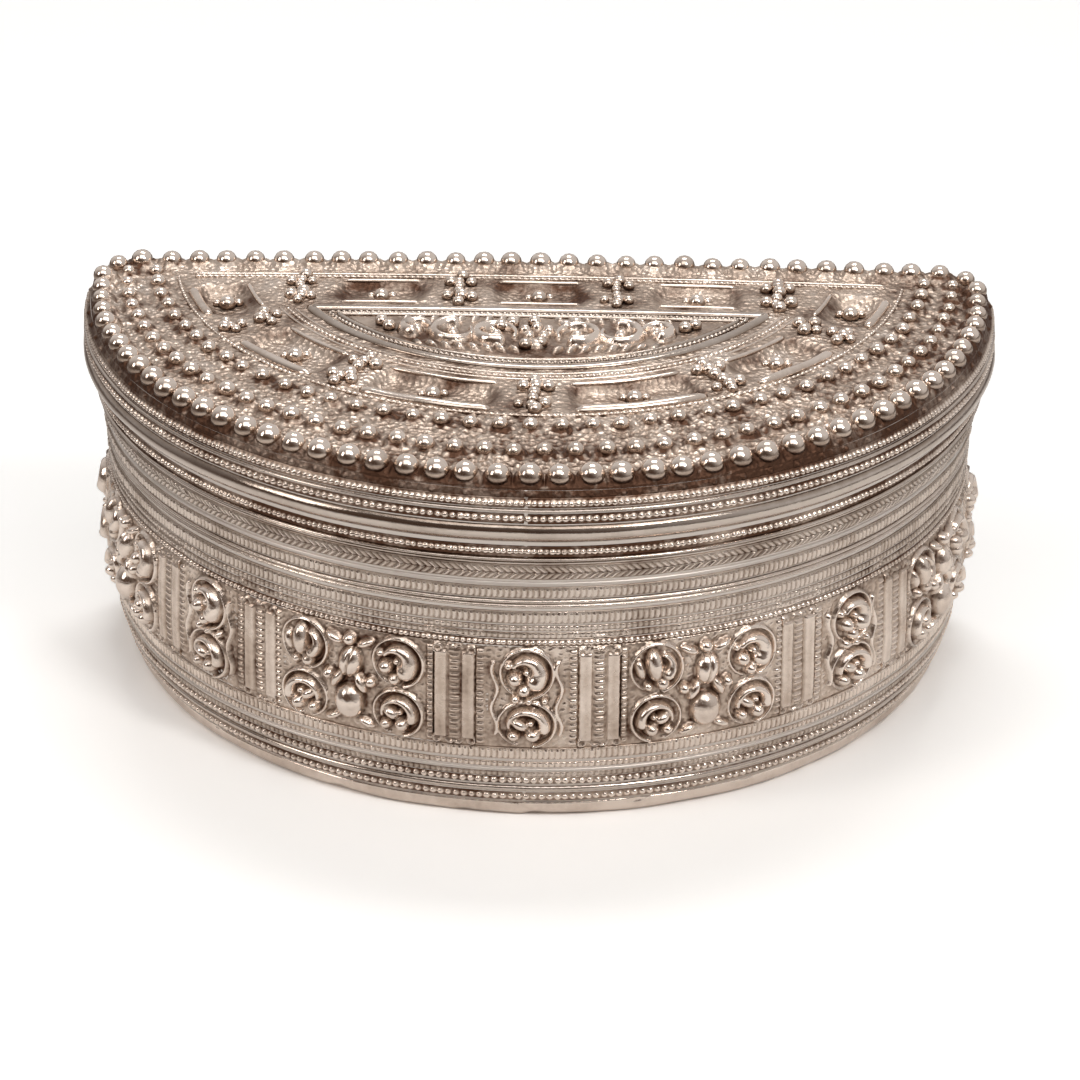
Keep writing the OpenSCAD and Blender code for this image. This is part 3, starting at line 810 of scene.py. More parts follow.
def pilaster(u, v, half_v, bar_u, bar_half):
    """Two flat upright bars with a column of beads between them and small scrolled brackets at both ends."""
    end = half_v - 1.1
    flat = smoothstep(bar_half + 0.1, bar_half - 0.12, np.abs(np.abs(u) - bar_u))
    shape = 0.46 * flat * smoothstep(end, end - 0.25, np.abs(v))
    shape = np.maximum(shape, bead_column(u, v, 0.0, 0.85, 0.9, -end, end))
    corner_curls = (
        (curl, (2.35, end + 0.15, 0.55, 190.0, -230.0, 0.16, 0.24, 0.55)),
        (curl, (0.6, end + 0.25, 0.5, 0.0, 150.0, 0.15, 0.2, 0.5)),
    )
    for side in (-1.0, 1.0):
        for top in (-1.0, 1.0):
            shape = raised(shape, u * side, v * top, corner_curls)
    return shape


class PAAN_OT_frieze(bpy.types.Operator):
    """The frieze on the curved front: scroll panels between pilasters"""
    bl_idname = "paan.frieze"
    bl_label = "Frieze"

    pilaster_angles = (9.0, 36.0, 54.0, 79.1)
    narrow_angles = (0.0, 45.0, 85.4)
    wide_angles = (22.5, 66.6)
    # Where the frieze ends, in degrees from the middle of the front
    end_angle = 89.6
    pilaster_half = 2.9
    bracket_half = 4.2
    roundel_r = 3.75
    mesh_step = 0.165

    def patch(self, name, m, angle, left, right, z0, z1, relief, ground=0.04):
        """A piece of the frieze: the relief stands out from the wall between two distances along the
        front."""
        centre = math.radians(angle) * m.plan.arc_r
        cols = max(8, int((right - left) / self.mesh_step))
        rows = int((z1 - z0) / self.mesh_step)
        u = np.linspace(left, right, cols)[None, :]
        z = np.linspace(z0, z1, rows)[:, None]
        v = z - 0.5 * (z0 + z1)
        rise = np.maximum(relief(u + 0.0 * v, v + 0.0 * u), 0.0)
        if ground > 0.0:
            rise = rise + matting(u + centre, v, angle) * smoothstep(0.3, 0.0, rise)
        rise = rise + ground
        edge = np.minimum(1.0, np.minimum(rows - 1 - np.arange(rows), np.arange(rows)) / 2.0)[:, None]
        s = centre + u
        face = wobbled(m.plan, s, z + 0.0 * u, np.interp(z, *m.profile) + rise * edge, m.wobble)
        back_z = np.array([z1, z0])[:, None] + 0.0 * u
        back = wobbled(m.plan, s, back_z, np.interp(back_z, *m.profile) - 0.4, m.wobble)
        # Tarnish and painted shade in the hollows beside the raised work, and a painted highlight on it
        level = np.concatenate([cavity(rise, 4, 0.5, 0.95, 0.1), np.zeros((2, cols))])
        return closed_mesh(name, np.concatenate([face, back]), level, False)

    @staticmethod
    def bracket(u, v):
        """A low bracket over a pilaster: a line that ends in a small curl on each side."""
        a = np.abs(u)
        reach = 3.4
        across = (v + 0.25 - 0.12 * np.cos(a * 1.6)) / 0.22
        line = 0.42 * np.sqrt(np.maximum(1.0 - across ** 2, 0.0)) * (a < reach)
        return np.maximum(line, curl(a, v, reach, 0.08, 0.34, 250.0, 250.0, 0.13, 0.18, 0.55))

    def execute(self, context):
        m = BandMaker("front_wall", "box")
        z0 = node_heights("frieze_sill_line")[1]
        z1 = node_heights("frieze_head_line")[0]
        half_v = 0.5 * (z1 - z0)
        to_u = math.radians(1.0) * m.plan.arc_r
        half = self.pilaster_half
        edges = sorted(side * angle for angle in self.pilaster_angles for side in (-1, 1))

        def limits(angle):
            """Distances from a panel's middle to the pilasters on each side of it."""
            left = max([e for e in edges if e < angle], default=-self.end_angle - half / to_u)
            right = min([e for e in edges if e > angle], default=self.end_angle + half / to_u)
            return (left - angle) * to_u + half, (right - angle) * to_u - half

        def runged(shape, u, v, left, right, inset, rung_half):
            """Adds an upright row of rungs along both sides of a panel."""
            end = half_v - 0.6
            for edge in (left + inset, right - inset):
                shape = np.maximum(shape, bead_column(u, v, edge, rung_half, 0.9, -end, end))
            return shape

        def panels(name, angles, panel, inset, rung_half):
            """The panels of one kind, on both sides of the middle."""
            made = []
            for angle in sorted({side * a for a in angles for side in (-1, 1)}):
                left, right = limits(angle)

                def relief(u, v, left=left, right=right):
                    return runged(panel(u, v, right), u, v, left, right, inset, rung_half)
                made.append(self.patch(name, m, angle, left, right, z0, z1, relief))
            return made

        def narrow(u, v, right):
            """A narrow panel, which is the same at any width."""
            return narrow_panel(u, v, half_v, self.roundel_r)

        def wide(u, v, right):
            """A wide panel, whose roundels reach as far out as its half-width lets them."""
            return wide_panel(u, v, half_v, self.roundel_r, min(6.9, right - self.roundel_r + 0.2))

        def bars(u, v):
            return pilaster(u, v, half_v, 1.85, 0.82)

        meshes = panels("narrow_panels", self.narrow_angles, narrow, 0.6, 0.65)
        place_joined("narrow_panels", meshes, "chased", "box", ["narrow_panel_scrolls"])
        meshes = panels("wide_panels", self.wide_angles, wide, 0.35, 0.6)
        place_joined("wide_panels", meshes, "chased", "box", ["wide_panel_scrolls", "wide_panel_buds"])
        meshes = [self.patch("pilasters", m, angle, -half, half, z0, z1, bars) for angle in edges]
        place_joined("pilasters", meshes, "chased", "box", ["pilaster_bars"])
        top = node_heights("frieze_head_line")[1]
        reach = self.bracket_half
        brackets = [self.patch("brackets", m, angle, -reach, reach, top + 0.02, top + 1.2, self.bracket, -0.1)
                    for angle in edges]
        place_joined("brackets", brackets, "chased", "box")
        return {"FINISHED"}


class PAAN_OT_lid_side(bpy.types.Operator):
    """The side of the lid: skirt, polished roll and the beaded shoulder above it"""
    bl_idname = "paan.lid_side"
    bl_label = "Lid Side"

    def execute(self, context):
        m = BandMaker("lid_band", "lid")
        fine = to_mm(m.sizes.fine_pitch)
        sheet = to_mm(m.sizes.sheet)
        z0, z1 = node_heights("lid_band")
        rows = 40
        heights = np.linspace(z0, z1, rows)
        outer = np.interp(heights, *m.profile)
        section = list(zip(outer, heights))
        section += [(o - sheet, h) for o, h in zip(outer[::-3], heights[::-3])]
        rim = node_heights("rim_bead_line")[1]
        # Just above the rim bead line the sheet turns dark: tarnish and painted shade in the crease at the
        # lid's edge
        level = np.concatenate([np.interp(heights, (rim, rim + 0.25), (0.45, 0.0)),
                                np.full(len(section) - rows, 0.4)])
        swept_ring("lid_sheet", m, section, level, "sheet", ["lid_band"], m.wobble)
        m.band("lid_lip", "skirt_lip", ridge_relief(0.36), 0.3, "polished", step=m.smooth, row_step=0.07)
        m.band("skirt_beads", "skirt_bead_band", bead_relief(m.plan, fine, 0.4, 1.7), 0.36, "chased")
        m.band("polished_roll", "lid_roll", ridge_relief(1.1), 0.7, "polished", step=m.smooth, row_step=0.12)
        m.band("shoulder_beads", "shoulder_bead_band", bead_relief(m.plan, 0.95, 0.44, 1.5), 0.4, "chased")
        m.band("shoulder_line", "shoulder_ridge", ridge_relief(0.35), 0.3, "polished", step=m.smooth,
               row_step=0.07)
        beads_up = 0.3
        m.band("rim_beads", "rim_bead_line", bead_relief(m.plan, fine, 0.36, 1.2), 0.34, "chased",
               grow=(0.0, beads_up))
        # A dark band lies between the edge beads and the rim line: tarnish with painted shade in the crease
        m.free_band("edge_band", rim + beads_up, z1, bead_relief(m.plan, 4.0, 0.4, 1.1), 9.0, "matted")
        return {"FINISHED"}


class LidTop:
    """Circles and lines that the lid's top follows, in millimetres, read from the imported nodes."""

    # How far in each curve runs from the front radius, at the front and at the sides
    panel_in = (19.6, 12.0)
    second_in = (7.2, 3.6)
    third_in = (14.6, 7.6)
    edge_count = 49
    second_count = 46
    third_count = 41
    back_count = 29
    # How far behind the middle of the front's circle the two inner rows of beads end
    rows_behind = 1.6
    dish_w = 8.4
    # Gaps behind the straight dishes, to the front's middle, and before them, to the half-moon
    gap_behind = 0.6
    gap_before = 1.4

    def __init__(self):
        self.plan = plan_now()
        self.arc_y = self.plan.arc_y
        self.top = node_heights("moon_rim")[0]
        self.plate_z = node_heights("lid_band")[1]
        self.edge_off = node_box("lid_plate")[1][0] - self.plan.arc_r
        # The half-moon's circle runs through its two tips and its front
        moon_lo, moon_hi = node_box("moon_rim")
        self.moon_half, self.moon_y, self.moon_front = moon_hi[0], moon_hi[1], moon_lo[1]
        depth = self.moon_y - self.moon_front
        self.moon_r = (self.moon_half ** 2 + depth ** 2) / (2.0 * depth)
        self.moon_c = self.moon_front + self.moon_r
        self.front_y = self.arc_y - self.plan.arc_r
        self.panel_r, self.panel_c = self.circle(*self.panel_in)
        # Radius, centre, number of beads and end of each curved row
        row_end = self.arc_y + self.rows_behind
        self.rows = ((self.plan.arc_r, self.arc_y, self.edge_count, self.arc_y),
                     (*self.circle(*self.second_in), self.second_count, row_end),
                     (*self.circle(*self.third_in), self.third_count, row_end))
        self.dish_depth = self.top - node_heights("dish_bosses")[0]
        self.dish_back = self.arc_y - self.gap_behind
        self.back_dish_w = self.dish_back - self.moon_y - self.gap_before
        self.crown = to_mm(bpy.context.scene.paan_sizes.crown)

    def circle(self, front_in, side_in):
        """Radius and centre of the circle through a point in from the front and two points in from the
        sides."""
        depth = self.plan.arc_r - front_in
        half = self.plan.arc_r - side_in
        r = (half * half + depth * depth) / (2.0 * depth)
        return r, self.front_y + front_in + r

    def lift(self, x, y):
        """The slight crown of the lid: highest along the middle of the back, nothing at the rim of the
        front."""
        reach = 64.0
        r2 = (x / reach) ** 2 + ((y - self.arc_y) / reach) ** 2
        return self.crown * np.maximum(1.0 - r2, 0.0)

    def on_top(self, x, y, z=0.0):
        return np.stack([x, y, self.top + self.lift(x, y) + z + 0.0 * x], axis=-1)


# Where the curved dishes start and end, in degrees from the front, and the straight ones, along the back
DISH_ANGLES = ((-77.0, -64.0), (-54.5, -36.0), (-28.5, -5.5), (5.5, 28.5), (36.0, 54.5), (64.0, 77.0))
BACK_DISHES = ((-29.0, -15.5), (-7.0, 7.0), (15.5, 29.0))
DISH_CORNER = 3.0
# A dish's wall runs between these distances in from its edge
DISH_WALL = (-0.3, 2.6)
# Depths of the dishes as shares of the deepest: at the tips, along the rest of the curve and along the back
TIP_DISH, CURVED_DISH, STRAIGHT_DISH = 1.0, 0.8, 0.65


def soft_corner(a, b, r):
    """Distance in from the edge of a rectangle with corners of radius r, from the distances to its near
    sides."""
    outside = np.hypot(np.maximum(r - a, 0.0), np.maximum(r - b, 0.0))
    return r - outside + np.minimum(np.maximum(a - r, 0.0), np.maximum(b - r, 0.0))


def dish_depths(lid, x, y):
    """How deep the sunk dishes lie below the plate: a soft wall inside each dish's round-cornered edge,
    then a nearly flat floor. The two dishes at the tips are the deepest."""
    r = np.hypot(x, y - lid.panel_c)
    angle = np.degrees(np.arctan2(x, lid.panel_c - y))
    depth = np.zeros(x.shape)
    inside = np.full(x.shape, -9.0)
    in_r = np.minimum(r - (lid.panel_r - lid.dish_w), lid.panel_r - r)
    for a0, a1 in DISH_ANGLES:
        across = np.minimum(angle - a0, a1 - angle) * math.radians(1.0) * lid.panel_r
        d = soft_corner(in_r, across, DISH_CORNER)
        inside = np.maximum(inside, d)
        share = TIP_DISH if min(abs(a0), abs(a1)) > 60.0 else CURVED_DISH
        depth = np.maximum(depth, share * smoothstep(*DISH_WALL, d))
    in_y = np.minimum(y - (lid.dish_back - lid.back_dish_w), lid.dish_back - y)
    for x0, x1 in BACK_DISHES:
        d = soft_corner(in_y, np.minimum(x - x0, x1 - x), DISH_CORNER)
        inside = np.maximum(inside, d)
        depth = np.maximum(depth, STRAIGHT_DISH * smoothstep(*DISH_WALL, d))
    return lid.dish_depth * depth, inside


# Radius and height of the mound under the beads of each curved row
MOUNDS = ((1.55, 0.8), (1.05, 0.4), (0.9, 0.3))
# Width of the ring of painted shade round a bead's foot
FOOT_RING = 0.45


def bead_mounds(lid, x, y):
    """The sheet round the beads of the edge rows: it rises to each bead, after a ring of painted shade round
    its foot. Returns the rise and the strength of that painted shade."""
    rise = np.zeros(x.shape)
    ring = np.zeros(x.shape)
    for (radius, centre, count, stop), (bead, height) in zip(lid.rows, MOUNDS):
        reach = math.acos((centre - stop) / radius)
        angle = np.arctan2(x, centre - y)
        n = np.clip(np.round((angle + reach) / (2.0 * reach) * (count - 1)), 0, count - 1)
        a = -reach + 2.0 * reach * n / (count - 1)
        d = np.hypot(x - radius * np.sin(a), y - centre + radius * np.cos(a))
        rise = np.maximum(rise, height * smoothstep(bead + 0.9, bead, d))
        ring = np.maximum(ring, np.exp(-((d - bead - 0.25) / FOOT_RING) ** 2))
    lo, hi = node_box("back_beads")
    half = 0.5 * (hi[0] - lo[0] - hi[1] + lo[1])
    last = lid.back_count // 2
    pitch = half / last
    d = np.hypot(x - pitch * np.clip(np.round(x / pitch), -last, last), y - 0.5 * (lo[1] + hi[1]))
    rise = np.maximum(rise, 0.75 * smoothstep(3.0, 1.2, d))
    return rise, np.maximum(ring, np.exp(-((d - 1.65) / FOOT_RING) ** 2))


class PAAN_OT_lid_plate(bpy.types.Operator):
    """The lid's top sheet with its sunk dishes and matted ground"""
    bl_idname = "paan.lid_plate"
    bl_label = "Lid Plate"

    columns = 400
    rows = 236
    corner_rows = 24

    def execute(self, context):
        lid = LidTop()
        plan = lid.plan
        off = lid.edge_off
        front = plan.arc_r + off
        corner = plan.corner_r + off
        corner_y = plan.arc_y + plan.side
        # Rows lie closer together towards the front and round the back corners, as on a circle seen edge on
        theta = np.linspace(0.012, 0.25 * TAU, self.rows - self.corner_rows)
        y_arc = plan.arc_y - front * np.cos(theta)
        w_arc = front * np.sin(theta)
        phi = np.linspace(0.0, 0.25 * TAU, self.corner_rows)
        y_back = corner_y + corner * np.sin(phi)
        w_back = plan.back_half + corner * np.cos(phi)
        y = np.concatenate([y_arc, y_back])[None, :]
        w = np.concatenate([w_arc, w_back])[None, :]
        u = np.linspace(-1.0, 1.0, self.columns)[:, None]
        x = u * w
        y = y + 0.0 * x
        depth, inside = dish_depths(lid, x, y)
        mound, ring = bead_mounds(lid, x, y)
        speckle = plane_waves(x, y, 1.25, 9, 3.0)
        swell = plane_waves(x, y, 6.0, 5, 5.0)
        border = smoothstep(lid.panel_r - 0.5, lid.panel_r + 1.5, np.hypot(x, y - lid.panel_c))
        ground = (0.02 + 0.14 * border) * speckle + 0.1 * swell
        margin = np.minimum(front - np.hypot(x, y - plan.arc_y), plan.back_y + off - y)
        edge = smoothstep(0.0, 1.7, margin)
        z = ground * edge - depth + mound * smoothstep(-0.2, 0.6, margin) - 0.5 * (1.0 - edge)
        top = lid.on_top(x, y, z)

        def edge_line(share, z_at):
            """A line along one side of the plate, at a share of its half-width."""
            return np.stack([share * w[0], y[0], 0.0 * w[0] + z_at], axis=-1)[None]

        bottom_z = lid.plate_z - lid.dish_depth
        points = np.concatenate([top, edge_line(1.0, lid.plate_z), edge_line(0.985, bottom_z),
                                 edge_line(-0.985, bottom_z), edge_line(-1.0, lid.plate_z)])
        # The level: crests of the matting lighter; painted shade on the dish walls and in a ring round the
        # foot of each edge bead; darker towards the plate's edge, where it drops to the rim
        dish_wall_shade = np.exp(-((inside - 0.9) / 1.0) ** 2)
        level = 0.44 + 1.4 * ground - 0.2 * dish_wall_shade - 0.36 * ring * border - 0.3 * (1.0 - edge)
        level = np.concatenate([np.clip(level, 0.0, 1.0), np.full((4, w.size), 0.1)])
        mesh = closed_mesh("lid_top_sheet", points, level, False)
        place("lid_top_sheet", mesh, "matted", "lid", ["lid_plate"])
        return {"FINISHED"}


# How far a bead's middle stands above the sheet, as a share of its radius
BEAD_LIFT = 0.28


def bead_mesh(name, lid, x, y, r, sides=16, z=0.0):
    """Round beads on the lid: each is a ball cut off below its middle, closed by a flat foot, and
    carries a relief level that runs from painted shade at the foot to a painted highlight on top."""
    polar = np.radians([16.0, 34.0, 52.0, 70.0, 88.0, 106.0])
    around = np.arange(sides) * TAU / sides
    n = len(x)
    x, y, r = (np.asarray(k, dtype=float) + np.zeros(n) for k in (x, y, r))
    base = lid.on_top(x, y, z + BEAD_LIFT * r)
    ring = np.stack([np.sin(polar)[:, None] * np.cos(around), np.sin(polar)[:, None] * np.sin(around),
                     np.cos(polar)[:, None] + 0.0 * around], axis=-1).reshape(-1, 3)
    pole = np.array([[0.0, 0.0, 1.0], [0.0, 0.0, math.cos(polar[-1])]])
    unit = np.concatenate([ring, pole])
    co = (base[:, None, :] + r[:, None, None] * unit[None]).reshape(-1, 3) * MM
    per = len(unit)
    index = np.arange(len(ring)).reshape(len(polar), sides)
    ahead = np.roll(index, -1, axis=1)
    faces = np.stack([index[:-1], index[1:], ahead[1:], ahead[:-1]], axis=-1).reshape(-1, 4)
    top, foot = np.full(sides, per - 2), np.full(sides, per - 1)
    caps = np.concatenate([np.stack([top, index[0], ahead[0]], axis=-1),
                           np.stack([foot, ahead[-1], index[-1]], axis=-1)])
    first = per * np.arange(n)[:, None, None]
    quads = (faces[None] + first).reshape(-1, 4)
    tris = (caps[None] + first).reshape(-1, 3)
    mesh = bpy.data.meshes.new(name)
    mesh.from_pydata(co.tolist(), [], quads.tolist() + tris.tolist())
    level = np.clip(0.1 + 0.85 * (unit[:, 2] + BEAD_LIFT), 0.0, 1.0)
    return finish_mesh(mesh, np.tile(level, n))


def row_on_circle(r, centre, count, stop_y):
    """Places along a circle from its front to where it meets a line across the lid."""
    reach = math.acos((centre - stop_y) / r)
    a = np.linspace(-reach, reach, count)
    return r * np.sin(a), centre - r * np.cos(a)


def uneven(x, y, amount, seed):
    """Moves each place a little, as a hand does."""
    n = np.arange(len(x))
    return x + amount * (scatter(n, seed) - 0.5), y + amount * (scatter(n, seed + 0.5) - 0.5)


class PAAN_OT_lid_beads(bpy.types.Operator):
    """The rows of round beads along the edge of the lid"""
    bl_idname = "paan.lid_beads"
    bl_label = "Lid Beads"

    # Piece, CAD node, stray of the places, size at the front, how much smaller at the back, spread in size
    # and sides round each bead
    looks = (("edge_beads", "outer_beads", 0.3, 1.72, 0.36, 0.14, 20),
             ("second_beads", "middle_beads", 0.35, 1.27, 0.28, 0.16, 16),
             ("third_beads", "inner_beads", 0.4, 1.08, 0.0, 0.16, 16),
             ("back_edge_beads", "back_beads", 0.35, 1.5, 0.0, 0.2, 20))

    def execute(self, context):
        lid = LidTop()
        plan = lid.plan
        places = [row_on_circle(*row) for row in lid.rows]
        # One more bead of the edge row sits on each back corner
        corner = plan.corner_r * math.sin(math.radians(45.0))
        x, y = places[0]
        places[0] = (np.concatenate([x, [-plan.back_half - corner, plan.back_half + corner]]),
                     np.concatenate([y, [plan.arc_y + plan.side + corner] * 2]))
        lo, hi = node_box("back_beads")
        r = 0.5 * (hi[1] - lo[1])
        places.append((np.linspace(lo[0] + r, hi[0] - r, lid.back_count),
                       np.full(lid.back_count, 0.5 * (lo[1] + hi[1]))))
        for k, ((x, y), look) in enumerate(zip(places, self.looks)):
            name, cad_node, stray, front, less, spread, sides = look
            x, y = uneven(x, y, stray, 1.0 + k)
            chance = scatter(np.arange(len(x)), 6.0 + k) - 0.5
            size = front - less * smoothstep(-10.0, 25.0, y) + spread * chance
            place(name, bead_mesh(name, lid, x, y, size, sides), "bead", "lid", [cad_node])
        return {"FINISHED"}


def wire(lid, x, y, radius, beads=0.0, z=0.0, sides=10):
    """A wire laid on the lid along a path: a round section of the given half-width carried along it,
    thinner at both ends, and pinched at each bead's pitch where beads are asked for."""
    tx, ty = np.gradient(x), np.gradient(y)
    length = np.hypot(tx, ty)
    nx, ny = -ty / length, tx / length
    s = np.concatenate([[0.0], np.cumsum(length[1:])])
    end = np.minimum(1.0, np.minimum(s, s[-1] - s) / (2.0 * np.max(radius)) + 0.25)
    r = radius * np.sqrt(end) * (1.0 + 0.07 * np.sin(s * 0.6 + x[0]))
    if beads:
        pitch = s[-1] / max(1, round(s[-1] / beads))
        r = r * (0.35 + 0.65 * np.abs(np.sin(math.pi * s / pitch)) ** 0.6)
    around = np.arange(sides)[:, None] * TAU / sides
    centre = lid.on_top(x, y, z)
    off = np.cos(around) * r
    up = np.sin(around) * r
    points = np.stack([centre[:, 0] + off * nx, centre[:, 1] + off * ny, centre[:, 2] + up], axis=-1)
    # The top of the section is lighter than its sides and underside: a painted highlight along the wire
    level = 0.35 + 0.6 * np.clip(np.sin(around), 0.0, 1.0) + 0.0 * r
    # Where it is pinched between beads the wire is darker: painted shade
    if beads:
        level = level * (0.5 + 0.5 * r / np.max(r))
    return closed_mesh("wire", points, level, False)


def arc_path(centre, r, a0, a1, step):
    """Points along a circle about a centre on the middle line; angles in degrees from the front."""
    n = max(4, int(abs(math.radians(a1 - a0)) * r / step))
    a = np.radians(np.linspace(a0, a1, n))
    return r * np.sin(a), centre - r * np.cos(a)


def line_path(x0, y0, x1, y1, step):
    n = max(4, int(math.hypot(x1 - x0, y1 - y0) / step))
    return np.linspace(x0, x1, n), np.linspace(y0, y1, n)


class PAAN_OT_lid_panel(bpy.types.Operator):
    """The ring of dishes: bars, bosses and bead clusters, and the lines round the panel"""
    bl_idname = "paan.lid_panel"
    bl_label = "Lid Panel"

    cluster_angles = (-59.2, -32.2, 0.0, 32.2, 59.2)
    cluster_xs = (-33.5, -11.2, 11.2, 33.5)

    def execute(self, context):
        lid = LidTop()
        self.clusters(lid)
        self.bars(lid)
        self.lines(lid)
        return {"FINISHED"}

    def clusters(self, lid):
        """Four beads round a fifth at both ends of each bridge between the dishes, and a boss in each
        dish."""
        places = []
        for a in self.cluster_angles:
            for r in (lid.panel_r - 1.6, lid.panel_r - lid.dish_w + 1.4):
                places.append((r * math.sin(math.radians(a)), lid.panel_c - r * math.cos(math.radians(a)), a))
        for x in self.cluster_xs:
            for y in (lid.dish_back - 0.9, lid.dish_back - lid.back_dish_w + 1.7):
                places.append((x, y, 0.0))
        places = np.array(places)
        turn = np.radians(places[:, 2][:, None] + np.array([0.0, 90.0, 180.0, 270.0]))
        x = (places[:, 0][:, None] + 1.6 * np.cos(turn)).ravel()
        y = (places[:, 1][:, None] + 1.6 * np.sin(turn)).ravel()
        x = np.concatenate([x, places[:, 0]])
        y = np.concatenate([y, places[:, 1]])
        x, y = uneven(x, y, 0.75, 5.0)
        r = 0.88 + 0.34 * (scatter(np.arange(len(x)), 5.0) - 0.5)
        place("bead_clusters", bead_mesh("bead_clusters", lid, x, y, r, 12), "bead", "lid", ["cluster_beads"])
        bosses = [(0.5 * (a0 + a1)) for a0, a1 in DISH_ANGLES]
        r = lid.panel_r - 0.5 * lid.dish_w
        bx = [r * math.sin(math.radians(a)) for a in bosses] + [0.5 * (x0 + x1) for x0, x1 in BACK_DISHES]
        by = [lid.panel_c - r * math.cos(math.radians(a)) for a in bosses]
        by += [lid.dish_back - 0.5 * lid.back_dish_w] * len(BACK_DISHES)
        bx, by = np.array(bx), np.array(by)
        # Each dish holds a boss with a small bead on either side
        sets = ((0.0, 0.0, 1.25, 16, 0.1), (1.5, 0.7, 0.7, 12, 0.05), (-1.5, 0.5, 0.65, 12, 0.05))
        centres = [bead_mesh("dish_centres", lid, bx + dx, by + dy, size, sides, up - lid.dish_depth)
                   for dx, dy, size, sides, up in sets]
        place_joined("dish_centres", centres, "bead", "lid", ["dish_bosses"])

    def bars(self, lid):
        """A stout smooth bar along the outer edge of each dish, and thin ones along its other edges."""
        meshes = []
        for a0, a1 in DISH_ANGLES:
            x, y = arc_path(lid.panel_c, lid.panel_r - 0.2, a0 + 1.0, a1 - 1.0, 0.5)
            meshes.append(wire(lid, x, y, 0.8, z=-0.15, sides=14))
            x, y = arc_path(lid.panel_c, lid.panel_r - lid.dish_w + 0.2, a0 + 1.0, a1 - 1.0, 0.5)
            meshes.append(wire(lid, x, y, 0.36, z=-0.1))
        for x0, x1 in BACK_DISHES:
            for y, r in ((lid.dish_back - 0.1, 0.34), (lid.dish_back - lid.back_dish_w + 0.2, 0.32)):
                meshes.append(wire(lid, *line_path(x0 + 1.2, y, x1 - 1.2, y, 0.5), r, z=-0.1))
        place_joined("dish_bars", meshes, "bead", "lid")

    def lines(self, lid):
        """Fine beaded and plain wires round the panel and along its back."""
        meshes = []
        reach = math.degrees(math.acos((lid.panel_c - lid.dish_back - 1.2) / (lid.panel_r + 1.3)))
        x, y = arc_path(lid.panel_c, lid.panel_r + 1.3, -reach, reach, 0.16)
        meshes.append(wire(lid, x, y, 0.3, beads=0.85, sides=8))
        half = lid.panel_r * math.sin(math.radians(reach)) - 1.0
        x, y = line_path(-half, lid.dish_back + 1.1, half, lid.dish_back + 1.1, 0.16)
        meshes.append(wire(lid, x, y, 0.28, beads=0.85, sides=8))
        x, y = line_path(-half, lid.dish_back + 1.9, half, lid.dish_back + 1.9, 0.6)
        meshes.append(wire(lid, x, y, 0.22))
        # A beaded line between two plain ones follows the half-moon's front
        for out, width, pitch in ((1.3, 0.2, 0.0), (2.2, 0.3, 0.85), (3.1, 0.2, 0.0)):
            radius = lid.moon_r + out
            reach = math.degrees(math.acos((lid.moon_c - lid.moon_y + 0.6) / radius))
            x, y = arc_path(lid.moon_c, radius, -reach, reach, 0.16 if pitch else 0.6)
            meshes.append(wire(lid, x, y, width, beads=pitch, z=-0.05, sides=8))
        place_joined("panel_lines", meshes, "chased", "lid")


